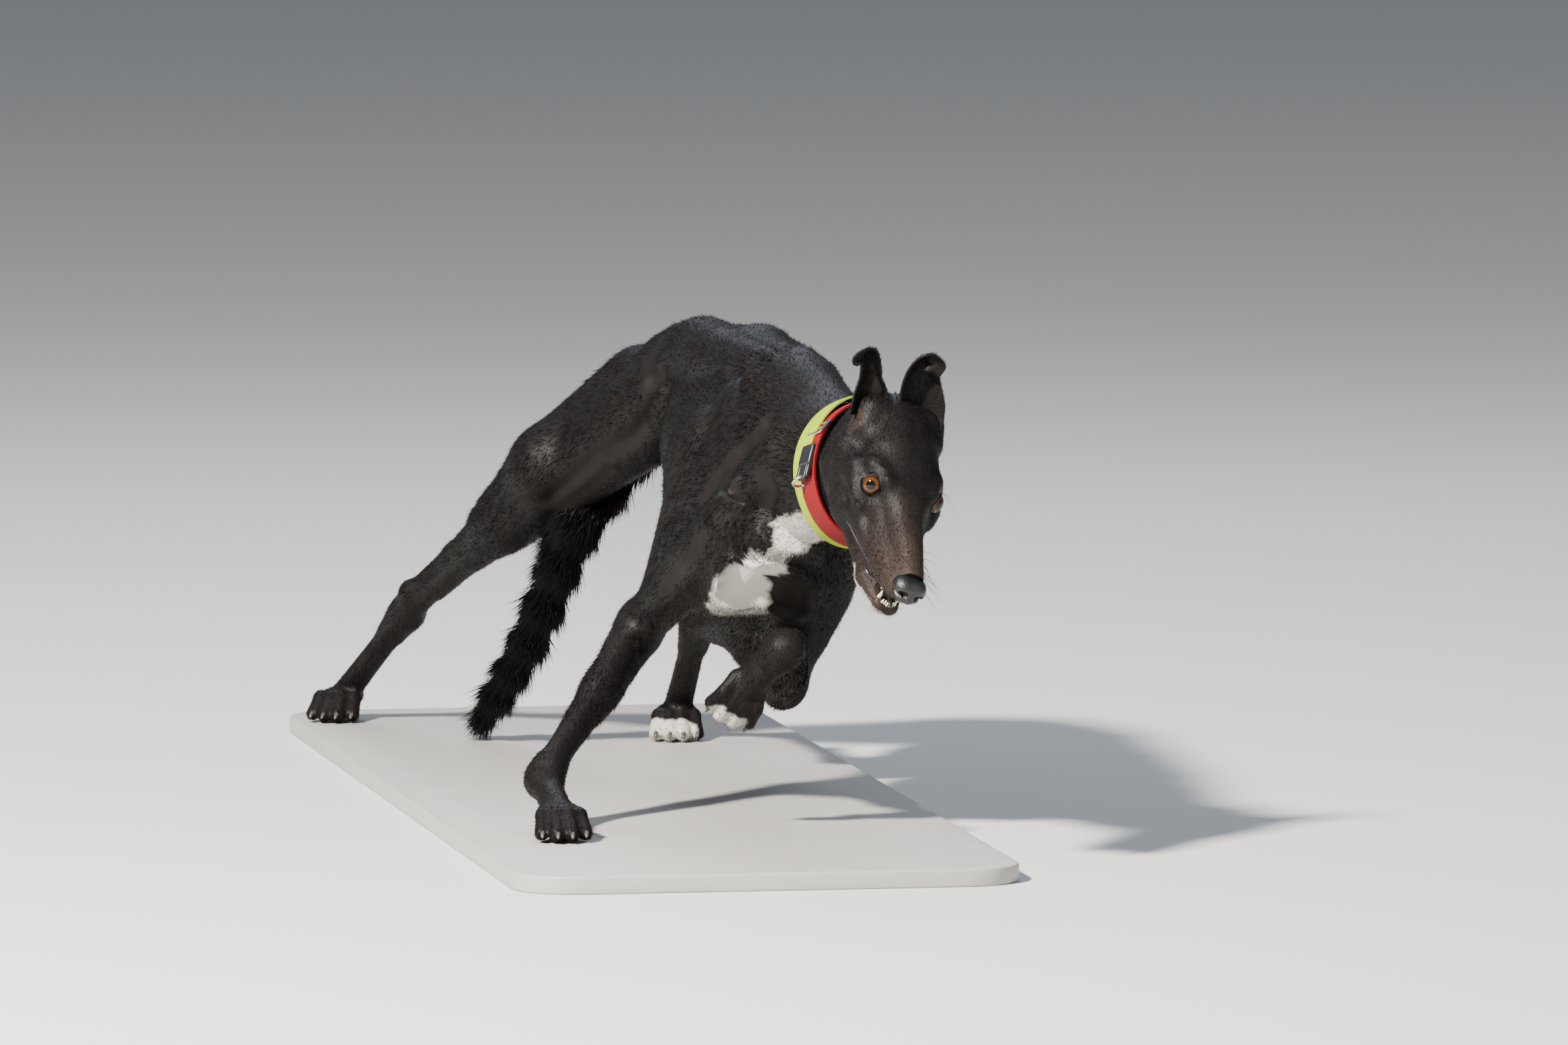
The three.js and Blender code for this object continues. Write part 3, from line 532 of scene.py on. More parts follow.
def eye_axes(s):
    gaze = unit(skull.turn @ at(0.66, s * 0.70, 0.30))
    level = unit(np.cross(unit(skull.turn @ at(0.25, 0, 1)), gaze)) * -s
    return gaze, level, unit(np.cross(gaze, level)) * -s


p = points_of(skin)
for s, centre in EYES.items():
    gaze, level, high = eye_axes(s)
    d = p - centre
    dist = np.linalg.norm(d, axis=1)
    way = d / np.maximum(dist, 1e-6)[:, None]
    a = np.arctan2(way @ level, way @ gaze)
    b = np.arcsin(np.clip(way @ high, -1, 1)) + 0.12 * a + 0.06
    shape = np.sqrt((np.abs(a) / OPENING_HALF[0]) ** 1.7
                    + (np.abs(b) / OPENING_HALF[1]) ** 2.0)
    near = (dist < LID_REACH) & ((way @ gaze) > 0.1)
    inner = EYE_RADIUS - LID_SINK
    lid = EYE_RADIUS + LID_THICKNESS
    ring = np.clip((shape - 1.0) / 0.9, 0, 1)
    target = np.where(shape < 1.0, inner + (lid - inner) * np.clip((shape - 0.9) / 0.1, 0, 1),
                      lid + (np.maximum(dist, lid) - lid) * ring ** 1.5)
    fade = np.clip((LID_REACH - dist) / LID_FADE, 0, 1)
    new = dist + (target - dist) * fade
    p[near] = centre + way[near] * new[near][:, None]
put_points(skin, p)

apply_modifier(skin, "SMOOTH", factor=0.4, iterations=2)
bpy.ops.object.shade_smooth()
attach(skin, "root")
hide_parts(*FLESH_NODES)


# Markings and the coat's material
# Black all over, with a white chest, throat stripe, chin and toe tips, and a muzzle
# frosted brown. The masks are worked out at each point of skin and at each tuft's root.
def blob(points, centre, radius):
    return 1 - np.linalg.norm(points - centre, axis=1) / radius


def rod(points, a, b, radius):
    ab = b - a
    t = np.clip(((points - a) @ ab) / (ab @ ab), 0, 1)
    return 1 - np.linalg.norm(points - a - t[:, None] * ab, axis=1) / radius


def ripple(points, size):
    x, y, z = (points / size).T
    return (np.sin(1.7 * x + 2.1 * np.sin(y + 0.7 * z)) + np.sin(1.3 * y + 2.3 * np.sin(z + x))
            + np.sin(1.9 * z + 1.7 * np.sin(x - y))) / 3


def edge(value, points, rough=0.10, soft=0.10, size=9):
    return np.clip((value + rough * ripple(points, size)) / soft + 0.5, 0, 1)


TOES_WHITE = toe_tips["left_fore"][1:3] + toe_tips["left_hind"][:3]


def markings(points, bare=False):
    """White, brown and bare-lip masks at points in millimetres."""
    head = skull.local(points)
    white = np.zeros(len(points))
    for v in (rod(points, at(165, -42, 297), at(236, -20, 308), 21),
              rod(points, at(160, -47, 288), at(147, -62, 264), 10),
              rod(points, at(143, -74, 260), at(144, -62, 255), 18),
              rod(points, at(112, -84, 236), at(70, -84, 208), 29)):
        white = np.maximum(white, edge(v, points))
    heart = np.maximum(blob(points, at(130, -92, 240), 16), blob(points, at(136, -64, 236), 13))
    white *= 1 - edge(heart, points, 0.1, 0.15, 6)
    for v in [blob(points, t + at(0, 0, 3), 15) for t in TOES_WHITE]:
        white = np.maximum(white, edge(v, points, 0.12, 0.2, 4))
    chin = rod(points, skull(90, -6, -84), skull(50, -20, -80), 12)
    white = np.maximum(white, 0.8 * edge(chin, points))
    brown = np.clip((head[:, 0] - 10) / 80, 0, 1) * (np.linalg.norm(head, axis=1) < 170)
    brown = np.maximum(brown, 0.9 * edge(blob(points, skull(-74, -40, 8), 15), points))
    lips = (head[:, 0] > 2) & (head[:, 0] < 118) & (head[:, 2] < -38)
    inside = np.zeros(len(points))
    if bare:
        inside[lips] = flesh(points[lips], COAT_DEPTH)[0] < -1.6
    return white, brown, inside


def set_masks(obj, masks):
    layer = obj.data.color_attributes.new("marks", "FLOAT_COLOR", "POINT")
    rgba = np.ones((len(obj.data.vertices), 4), np.float32)
    for i, m in enumerate(masks):
        rgba[:, i] = m
    layer.data.foreach_set("color", rgba.ravel())


def material(name, base=(0.5, 0.5, 0.5), rough=0.5, **more):
    mat = bpy.data.materials.new(name)
    mat.use_nodes = True
    shader = mat.node_tree.nodes["Principled BSDF"]
    shader.inputs["Base Color"].default_value = (*base, 1)
    shader.inputs["Roughness"].default_value = rough
    for key, value in more.items():
        shader.inputs[key.replace("_", " ")].default_value = value
    return mat, mat.node_tree.nodes, mat.node_tree.links, shader


def maths(nodes, links, kind, first, second=None):
    """A sum on a socket, with a second socket, a number or nothing."""
    node = nodes.new("ShaderNodeMath")
    node.operation = kind
    links.new(first, node.inputs[0])
    if hasattr(second, "node"):
        links.new(second, node.inputs[1])
    elif second is not None:
        node.inputs[1].default_value = second
    return node.outputs[0]


def mix(nodes, links, factor, first, second):
    """A colour mix; each colour is a socket or a plain colour."""
    node = nodes.new("ShaderNodeMix")
    node.data_type = "RGBA"
    links.new(factor, node.inputs["Factor"])
    for socket, value in ((node.inputs[6], first), (node.inputs[7], second)):
        if hasattr(value, "node"):
            links.new(value, socket)
        else:
            socket.default_value = (*value, 1)
    return node.outputs[2]


def noise(nodes, links, scale, detail=3.0, stretch=(1, 1, 1)):
    where = nodes.new("ShaderNodeTexCoord")
    scaled = nodes.new("ShaderNodeMapping")
    scaled.inputs["Scale"].default_value = stretch
    links.new(where.outputs["Object"], scaled.inputs["Vector"])
    tex = nodes.new("ShaderNodeTexNoise")
    tex.inputs["Scale"].default_value = scale
    tex.inputs["Detail"].default_value = detail
    links.new(scaled.outputs["Vector"], tex.inputs["Vector"])
    return tex.outputs["Fac"]


def bump(nodes, links, shader, height, strength, distance):
    node = nodes.new("ShaderNodeBump")
    node.inputs["Strength"].default_value = strength
    node.inputs["Distance"].default_value = distance
    links.new(height, node.inputs["Height"])
    links.new(node.outputs["Normal"], shader.inputs["Normal"])


BLACK_HAIR = (0.0030, 0.0026, 0.0028)
DARK_HAIR = (0.0095, 0.0072, 0.0066)
BROWN_HAIR = (0.042, 0.027, 0.020)
WHITE_HAIR = (0.50, 0.475, 0.43)
LIP_BLACK = (0.012, 0.009, 0.010)


BROWN_SHARE = 0.55


def coat_material(name, has_lips, rough, shine):
    """Black hair, grained, then brown, white and bare lip by the three marks."""
    mat, nodes, links, shader = material(name, rough=rough, Specular_IOR_Level=shine)
    marks = nodes.new("ShaderNodeAttribute")
    marks.attribute_name = "marks"
    split = nodes.new("ShaderNodeSeparateColor")
    links.new(marks.outputs["Color"], split.inputs["Color"])
    grain = noise(nodes, links, 60, 5)
    colour = mix(nodes, links, grain, BLACK_HAIR, DARK_HAIR)
    brown = maths(nodes, links, "MULTIPLY", split.outputs["Green"], BROWN_SHARE)
    colour = mix(nodes, links, brown, colour, BROWN_HAIR)
    colour = mix(nodes, links, split.outputs["Red"], colour, WHITE_HAIR)
    if has_lips:
        colour = mix(nodes, links, split.outputs["Blue"], colour, LIP_BLACK)
    links.new(colour, shader.inputs["Base Color"])
    bump(nodes, links, shader, noise(nodes, links, 420, 6, (0.3, 1, 1)), 0.4, 0.0010)
    return mat


skin_coat = coat_material("coat_skin", True, 0.54, 0.14)
tuft_coat = coat_material("coat_tufts", False, 0.46, 0.20)
skin.data.materials.append(skin_coat)
set_masks(skin, markings(points_of(skin), True))

# Ears
# Thin cupped leaves of gristle and skin, rooted on the back of the skull, the tips
# folded over: a grid laid along a line, cupped across it, and given its thickness.
EAR_ROWS, EAR_ACROSS = 40, 25
EAR_PLACES = 400
EAR_CUP = 0.72
EAR_WAVE = 0.8
EAR_TIP = 0.12
EAR_THICK = 0.0024


def face_outwards():
    """Turns the active object's faces outwards."""
    bpy.ops.object.mode_set(mode="EDIT")
    bpy.ops.mesh.select_all(action="SELECT")
    bpy.ops.mesh.normals_make_consistent(inside=False)
    bpy.ops.object.mode_set(mode="OBJECT")


def ear(name, points, widths, node):
    bpy.ops.mesh.primitive_grid_add(x_subdivisions=EAR_ACROSS - 1, y_subdivisions=EAR_ROWS - 1,
                                    size=2)
    leaf = bpy.context.object
    leaf.name = name
    line = smooth_line([skull(*q) for q in points], EAR_PLACES)
    u, v, _ = raw_points(leaf).T
    v = (v + 1) / 2
    k = np.clip((v * (EAR_PLACES - 1)).astype(int), 0, EAR_PLACES - 1)
    run = unit(np.gradient(line, axis=0))[k]
    face = unit(skull.forward - run * (run @ skull.forward)[:, None])
    across = np.cross(run, face)
    w = np.interp(v, np.linspace(0, 1, len(widths)), widths)
    w = w * np.sqrt(np.clip((1 - v) / EAR_TIP, 0, 1))
    cup = EAR_CUP * w * u ** 2 * (1 - 0.3 * v)
    wave = EAR_WAVE * np.sin(9 * v + 3 * u)
    put_points(leaf, line[k] + across * (u * w)[:, None] + face * (cup + wave)[:, None])
    apply_modifier(leaf, "SOLIDIFY", thickness=EAR_THICK, offset=0)
    apply_modifier(leaf, "SUBSURF", levels=1)
    face_outwards()
    bpy.ops.object.shade_smooth()
    leaf.data.materials.append(skin_coat)
    set_masks(leaf, (0, 0, 0))
    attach(leaf, "root")
    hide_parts(node)
    return leaf


right_ear = ear("ear_right", [(-84, -34, 12), (-96, -38, 28), (-104, -44, 43), (-109, -50, 57),
                              (-106, -60, 70), (-96, -70, 67), (-90, -72, 61)],
                [22, 18, 11, 10, 9, 8, 6], "right_ear")
left_ear = ear("ear_left", [(-84, 18, 16), (-97, 14, 37), (-106, 5, 57), (-108, 0, 73),
                            (-102, 0, 85), (-96, 8, 84), (-92, 14, 75)],
               [23, 23, 19, 15, 12, 9, 6], "left_ear")

# Eyes
# Glossy wet balls set under the lids, looking ahead and a little towards the viewer:
# a round pupil, an amber iris and a dark rim, coloured by the angle from the gaze.
eye_mat, nodes, links, shader = material("eye", rough=0.08, Specular_IOR_Level=0.22,
                                         Coat_Weight=0.25, Coat_Roughness=0.03)
away = nodes.new("ShaderNodeAttribute")
away.attribute_name = "from_gaze"
ramp = nodes.new("ShaderNodeValToRGB")
stops = ((0.0, (0.003, 0.003, 0.003)), (0.24, (0.003, 0.003, 0.003)),
         (0.27, (0.035, 0.010, 0.002)), (0.36, (0.09, 0.029, 0.005)),
         (0.50, (0.038, 0.012, 0.003)), (0.55, (0.008, 0.006, 0.005)),
         (0.66, (0.03, 0.022, 0.018)), (0.8, (0.02, 0.012, 0.010)))
ramp.color_ramp.elements[0].color = (*stops[0][1], 1)
ramp.color_ramp.elements[1].color = (*stops[-1][1], 1)
for place, colour in stops[1:]:
    ramp.color_ramp.elements.new(place).color = (*colour, 1)
links.new(away.outputs["Fac"], ramp.inputs["Fac"])
links.new(ramp.outputs["Color"], shader.inputs["Base Color"])
CAMERA_WAY = unit(np.array(CAMERA_AT - CAMERA_AIM))
BALL_SINK = 0.2
for s, side in ((-1, "right"), (1, "left")):
    bpy.ops.mesh.primitive_uv_sphere_add(segments=64, ring_count=48,
                                         radius=EYE_RADIUS * MM)
    ball = bpy.context.object
    ball.name = f"eyeball_{side}"
    gaze = unit(eye_axes(s)[0] * 0.8 + CAMERA_WAY * 0.35)
    way = unit(raw_points(ball))
    angle = np.arccos(np.clip(way @ gaze, -1, 1)) / (math.pi / 2)
    put_points(ball, EYES[s] + way * (EYE_RADIUS - BALL_SINK))
    layer = ball.data.attributes.new("from_gaze", "FLOAT", "POINT")
    layer.data.foreach_set("value", angle.astype(np.float32))
    bpy.ops.object.shade_smooth()
    ball.data.materials.append(eye_mat)
    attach(ball, "root")
    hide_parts(f"{side}_eye")

# Nose
# A black pad of pebbled skin at the end of the muzzle, with a nostril each side and the
# groove between them: a squared-off ball, with both pressed into its front.
nose_mat, nodes, links, shader = material("nose_leather", (0.005, 0.005, 0.0055), 0.36,
                                          Coat_Weight=0.15, Coat_Roughness=0.25)
cells = nodes.new("ShaderNodeTexVoronoi")
cells.inputs["Scale"].default_value = 900
where = nodes.new("ShaderNodeTexCoord")
links.new(where.outputs["Object"], cells.inputs["Vector"])
bump(nodes, links, shader, cells.outputs["Distance"], 0.5, 0.0006)
NOSE_AT = at(113, 0, -30)
NOSE_SIZE = at(14.5, 17.5, 13.5)
NOSE_SQUARE = 0.88
NOSE_DROP = 2.0
NOSE_LOW = 14
NOSE_NARROW = 0.28
NOSTRIL_DEPTH = 8.0
GROOVE_DEPTH = 1.6
GROOVE_HALF = 0.9
bpy.ops.mesh.primitive_uv_sphere_add(segments=96, ring_count=64, radius=1)
nose = bpy.context.object
nose.name = "nose_pad"
q = raw_points(nose)
q = np.sign(q) * np.abs(q) ** NOSE_SQUARE
q = q * NOSE_SIZE
q[:, 2] -= NOSE_DROP * np.clip(-q[:, 2] / NOSE_LOW, 0, 1) * (q[:, 0] > 0)
q[:, 1] *= 1 - NOSE_NARROW * np.clip(-q[:, 2] / NOSE_LOW, 0, 1)
for s in (-1, 1):
    hole = np.sqrt(((q[:, 1] - s * 8.0) / 4.4) ** 2 + ((q[:, 2] + 0.5) / 3.4) ** 2)
    slit = np.sqrt(((q[:, 1] - s * 13.5) / 4.5) ** 2 + ((q[:, 2] + 4.0) / 1.8) ** 2)
    deep = np.maximum(np.clip(1.25 - hole, 0, 1), 0.6 * np.clip(1.3 - slit, 0, 1))
    q[:, 0] -= NOSTRIL_DEPTH * deep ** 0.8 * (q[:, 0] > 2)
q[:, 0] -= GROOVE_DEPTH * np.exp(-(q[:, 1] / GROOVE_HALF) ** 2) * (q[:, 2] < 5) * (q[:, 0] > 0)
put_points(nose, np.array([skull(*(v + NOSE_AT)) for v in q]))
bpy.ops.object.shade_smooth()
nose.data.materials.append(nose_mat)
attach(nose, "root")
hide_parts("nose")

# Lips and teeth
# A wet black lip runs from each corner of the mouth to the front, and ivory canines,
# front teeth and cheek teeth stand in the gums: tapered tubes, half sunk in the skin.
lip_mat, nodes, links, shader = material("lip", LIP_BLACK, 0.22, Coat_Weight=0.6,
                                         Coat_Roughness=0.1)
bump(nodes, links, shader, noise(nodes, links, 500, 2), 0.3, 0.0005)
tooth_mat, nodes, links, shader = material("tooth", rough=0.25, Coat_Weight=0.5)
links.new(mix(nodes, links, noise(nodes, links, 220, 2), (0.62, 0.52, 0.34),
              (0.78, 0.71, 0.55)), shader.inputs["Base Color"])


def skin_along(place_at, low, high, halvings):
    """How far out the skin lies along a way, between two distances."""
    for _ in range(halvings):
        middle = (low + high) / 2
        if flesh(place_at(middle)[None], COAT_DEPTH)[0][0] < 0:
            low = middle
        else:
            high = middle
    return low


def cheek_at(x, z, s):
    """How far to the side the muzzle's skin is, at a length and height on the skull."""
    return skin_along(lambda y: skull(x, s * y, z), 0.0, 60.0, 18)


def new_piece(name, points, faces):
    """A new object, picked, from points in millimetres."""
    mesh = bpy.data.meshes.new(name)
    mesh.from_pydata(((np.array(points) + ORIGIN) * MM).tolist(), [], faces)
    piece = bpy.data.objects.new(name, mesh)
    bpy.context.collection.objects.link(piece)
    pick(piece)
    return piece


def tube(name, line, radii, mat, sides=10):
    """A closed tube of changing thickness along a line of points in millimetres."""
    line = np.asarray(line)
    run = unit(np.gradient(line, axis=0))
    first = unit(np.cross(run, skull.up + 0.01))
    second = np.cross(run, first)
    turn = np.linspace(0, 2 * math.pi, sides, endpoint=False)
    rings = [line[i] + radii[i] * (np.cos(turn)[:, None] * first[i]
                                   + np.sin(turn)[:, None] * second[i])
             for i in range(len(line))]
    verts = np.concatenate(rings + [line[:1], line[-1:]])
    faces = []
    for i in range(len(line) - 1):
        for k in range(sides):
            a, b = i * sides + k, i * sides + (k + 1) % sides
            faces.append((a, b, b + sides, a + sides))
    n = len(line) * sides
    for k in range(sides):
        faces.append(((k + 1) % sides, k, n))
        faces.append((n - sides + k, n - sides + (k + 1) % sides, n + 1))
    piece = new_piece(name, verts, faces)
    face_outwards()
    bpy.ops.object.shade_smooth()
    piece.data.materials.append(mat)
    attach(piece, "root")


LIP_STEPS = 26
LIP_SINK = 0.9
for s, side in ((-1, "right"), (1, "left")):
    for jaw, rise_front, radius, wave in (("upper", 5.5, 1.9, 0.30), ("lower", -11.5, 2.3, 0.48)):
        line = []
        for x in np.linspace(0, 104, LIP_STEPS):
            t = max((x - 4) / 100, 0)
            z = -53 + rise_front * t + wave * math.sin(9 * t)
            line.append(skull(x, s * max(cheek_at(x, z, s) - LIP_SINK, 0.5), z))
        radii = radius * np.sin(np.linspace(0.25, math.pi - 0.5, len(line))) ** 0.5
        tube(f"lip_{jaw}_{side}", line, radii, lip_mat)


def tooth(name, root, tip, radius, bend=0.0):
    t = np.linspace(0, 1, 9)
    line = root + (tip - root) * t[:, None] + skull.forward * (bend * np.sin(math.pi * t))[:, None]
    tube(name, line, radius * (1 - t) ** 0.55 + 0.12, tooth_mat)


for s, side in ((-1, "right"), (1, "left")):
    tooth(f"canine_lower_{side}", skull(88, s * 8.5, -71), skull(91, s * 10.5, -57), 2.7, 1.2)
    tooth(f"canine_upper_{side}", skull(88, s * 11.5, -43), skull(90, s * 12.5, -57), 2.8, 1.5)
    for i in range(3):
        y = s * (1.6 + 2.6 * i)
        tooth(f"incisor_lower_{side}_{i}", skull(97 - 0.8 * i, y, -70),
              skull(98.5 - 0.8 * i, y, -62.5), 1.6)
        tooth(f"incisor_upper_{side}_{i}", skull(104 - 0.8 * i, y, -45),
              skull(104.5 - 0.8 * i, y, -51.5), 1.7)
    for i in range(5):
        x = 74 - 11 * i
        y = s * (12 + 2.4 * i)
        z = -53 - 0.115 * (x - 4)
        tooth(f"cheek_tooth_{side}_{i}", skull(x, y, z - 2), skull(x - 1, y, z + 4.5), 2.6)

# Claws
# Curved dark horn, one growing from the end of each toe: the solid claws, swollen to
# meet the toe, and rounded.
CLAW_SWELL = 0.0004
claw_mat, nodes, links, shader = material("claw", rough=0.32, Coat_Weight=0.3)
links.new(mix(nodes, links, noise(nodes, links, 300, 3, (1, 1, 0.2)), (0.025, 0.022, 0.020),
              (0.10, 0.088, 0.075)), shader.inputs["Base Color"])
for side in ("right", "left"):
    for end in ("fore", "hind"):
        for i in range(1, 5):
            node = f"{side}_{end}_foot_claw_{i}"
            horn = copy_nodes([node], f"horn_{side}_{end}_{i}", CLAW_SWELL)
            apply_modifier(horn, "SUBSURF", levels=2)
            bpy.ops.object.shade_smooth()
            horn.data.materials.append(claw_mat)
            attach(horn, "root")
            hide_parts(node)

# Collars
# A wide fluorescent band and, in front of it, a red collar, both of woven nylon drawn
# round the neck. The red one has a moulded buckle, a slider and two plated steel rings.
RIBS_ROUND = 190
RIBS_ACROSS = 9


def webbing(name, dark, light):
    """Woven ribs both ways, counted on the band's own weave measures."""
    mat, nodes, links, shader = material(name, rough=0.55, Specular_IOR_Level=0.3)
    along = nodes.new("ShaderNodeAttribute")
    along.attribute_name = "weave"
    split = nodes.new("ShaderNodeSeparateXYZ")
    links.new(along.outputs["Vector"], split.inputs["Vector"])
    waves = []
    for socket, count in (("X", RIBS_ROUND), ("Y", RIBS_ACROSS)):
        turns = maths(nodes, links, "MULTIPLY", split.outputs[socket], count * 2 * math.pi)
        waves.append(maths(nodes, links, "SINE", turns))
    half = nodes.new("ShaderNodeMapRange")
    half.inputs["From Min"].default_value = -1
    links.new(maths(nodes, links, "MULTIPLY", *waves), half.inputs["Value"])
    links.new(mix(nodes, links, half.outputs[0], dark, light), shader.inputs["Base Color"])
    bump(nodes, links, shader, half.outputs[0], 0.6, 0.0007)
    return mat


COLLAR_CENTRE = at(226, 20, 356)
COLLAR_WAY = unit(at(0.93, 0.28, 0.24))
COLLAR_SIDE = unit(np.cross(at(0, 0, 1), COLLAR_WAY))
COLLAR_RISE = np.cross(COLLAR_WAY, COLLAR_SIDE)


def neck_way(angle):
    """The way out of the neck at an angle round it."""
    return COLLAR_SIDE * math.cos(angle) + COLLAR_RISE * math.sin(angle)


def neck_radius(centre, angle):
    way = neck_way(angle)
    return skin_along(lambda far: centre + way * far, 20.0, 110.0, 16)


BAND_STEPS, BAND_ROWS = 160, 13
BAND_CROWN = 0.7


def band(name, offset, width, lift, thickness, mat, node):
    """A band hugging the neck: lift is its stand-off from the skin, all in millimetres."""
    centre = COLLAR_CENTRE + COLLAR_WAY * offset
    angles = [2 * math.pi * i / BAND_STEPS for i in range(BAND_STEPS)]
    reach = np.array([max(neck_radius(centre + COLLAR_WAY * k * width, angle)
                          for k in (-0.5, 0, 0.5)) for angle in angles])
    reach = np.convolve(np.concatenate([reach[-4:], reach, reach[:4]]), np.ones(9) / 9, "valid")
    verts, weave, faces = [], [], []
    for i, angle in enumerate(angles):
        way = neck_way(angle)
        for j in range(BAND_ROWS):
            v = j / (BAND_ROWS - 1)
            crown = BAND_CROWN * (1 - (2 * v - 1) ** 4)
            r = reach[i] + lift + crown
            verts.append(centre + COLLAR_WAY * (v - 0.5) * width + way * r)
            weave.append((i / BAND_STEPS, v, 0))
            if j < BAND_ROWS - 1:
                a = i * BAND_ROWS + j
                b = ((i + 1) % BAND_STEPS) * BAND_ROWS + j
                faces.append((a, b, b + 1, a + 1))
    piece = new_piece(name, verts, faces)
    layer = piece.data.attributes.new("weave", "FLOAT_VECTOR", "POINT")
    layer.data.foreach_set("vector", np.array(weave, np.float32).ravel())
    apply_modifier(piece, "SOLIDIFY", thickness=thickness * MM, offset=0)
    bpy.ops.object.shade_smooth_by_angle(angle=math.radians(40))
    piece.data.materials.append(mat)
    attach(piece, "root")
    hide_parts(node)


red_mat = webbing("webbing_red", (0.10, 0.0, 0.001), (0.24, 0.0, 0.004))
yellow_mat = webbing("webbing_yellow", (0.20, 0.27, 0.0), (0.35, 0.46, 0.0))
band("band_yellow", -16, 34, 1.8, 1.8, yellow_mat, "collar_yellow")
band("band_red", 1, 29, 4.8, 2.2, red_mat, "collar_red")

buckle_mat, nodes, links, shader = material("buckle", (0.012, 0.012, 0.013), 0.35)
bump(nodes, links, shader, noise(nodes, links, 1500, 1), 0.15, 0.0002)
steel_mat, nodes, links, shader = material("plated_steel", (0.72, 0.73, 0.75), 0.18,
                                           Metallic=1.0)
bump(nodes, links, shader, noise(nodes, links, 400, 2), 0.08, 0.0003)


def on_collar(offset, angle, lift):
    """Place and axes on the collar's outside: out from the neck, round it, and along it."""
    centre = COLLAR_CENTRE + COLLAR_WAY * offset
    way = neck_way(math.radians(angle))
    place = centre + way * (neck_radius(centre, math.radians(angle)) + lift)
    return place, way, np.cross(COLLAR_WAY, way)


def settle(piece, place, columns, mat, node):
    """Puts a piece modelled round the origin onto the dog, its place in its mesh."""
    turn = Matrix(np.array(columns).T.tolist()).to_4x4()
    piece.data.transform(turn)
    piece.data.transform(Matrix.Translation(((place + ORIGIN) * MM).tolist()))
    piece.data.update()
    pick(piece)
    face_outwards()
    bpy.ops.object.shade_smooth_by_angle(angle=math.radians(35))
    piece.data.materials.append(mat)
    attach(piece, "root")
    if node:
        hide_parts(node)


def rounded_box(size, bevel, x=0, y=0):
    """A box with rounded edges, its middle moved in its own plane, in millimetres."""
    bpy.ops.mesh.primitive_cube_add(size=1)
    box = bpy.context.object
    box.data.transform(Matrix.Diagonal((*[v * MM for v in size], 1)))
    apply_modifier(box, "BEVEL", width=bevel * MM, segments=3)
    box.data.transform(Matrix.Translation((x * MM, y * MM, 0)))
    return box


def join(name, pieces):
    bpy.ops.object.select_all(action="DESELECT")
    for piece in pieces:
        piece.select_set(True)
    bpy.context.view_layer.objects.active = pieces[0]
    bpy.ops.object.join()
    bpy.context.object.name = name
    return bpy.context.object


BUCKLE_ANGLE, BUCKLE_LIFT = 158, 8.5
SLIDER_ANGLE, SLIDER_LIFT = 132, 9.2
SLIDER_WIRE = 2.6
prongs = [rounded_box((4.5, 14, 5), 1.6, s * 9.5, 17) for s in (-1, 1)]
socket_body = rounded_box((24, 22, 7), 2.2)
tongue = rounded_box((14, 20, 4.5), 1.6, 0, 16)
buckle = join("side_release_buckle", [socket_body, tongue] + prongs)
place, way, around = on_collar(1, BUCKLE_ANGLE, BUCKLE_LIFT)
settle(buckle, place, (COLLAR_WAY, around, way), buckle_mat, "collar_buckle")

slider = join("slider", [rounded_box((w, h, SLIDER_WIRE), 1.0, x, y) for x, y, w, h in (
    (0, 7, 30, 3.2), (0, -7, 30, 3.2), (13.5, 0, 3.2, 15), (-13.5, 0, 3.2, 15), (0, 0, 27, 2.6))])
place, way, around = on_collar(1, SLIDER_ANGLE, SLIDER_LIFT)
settle(slider, place, (COLLAR_WAY, around, way), steel_mat, None)


def wire_ring(name, radius, wire, offset, angle, lift, tilt, node):
    bpy.ops.mesh.primitive_torus_add(major_segments=64, minor_segments=16,
                                     major_radius=radius * MM, minor_radius=wire * MM)
    ring = bpy.context.object
    ring.name = name
    place, way, around = on_collar(offset, angle, lift)
    face = unit(around * math.cos(tilt) + COLLAR_WAY * math.sin(tilt))
    side = unit(np.cross(face, way))
    settle(ring, place, (way, side, np.cross(way, side)), steel_mat, node)


wire_ring("side_ring", 8.0, 1.4, -4, 180, 12, 0.5, "collar_side_ring")
wire_ring("lead_ring", 10.0, 1.6, 15, 254, 14, 0.9, "collar_lead_ring")

# Display base
# A flat wooden board with softened edges, painted a quiet grey, under the planted feet,
# which are fixed down to it. It is not in the photograph: it keeps the still upright.
BOARD_EDGE = 0.003
board_mat, nodes, links, shader = material("board", rough=0.5)
links.new(mix(nodes, links, noise(nodes, links, 9, 5), (0.36, 0.345, 0.32),
              (0.42, 0.40, 0.37)), shader.inputs["Base Color"])
bump(nodes, links, shader, noise(nodes, links, 260, 4), 0.12, 0.0006)
board = copy_nodes(["stand_base"], "stand_board", 0)
apply_modifier(board, "BEVEL", width=BOARD_EDGE, segments=3, limit_method="ANGLE")
bpy.ops.object.shade_smooth_by_angle(angle=math.radians(30))
board.data.materials.append(board_mat)
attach(board, "root")
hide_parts("stand_base")

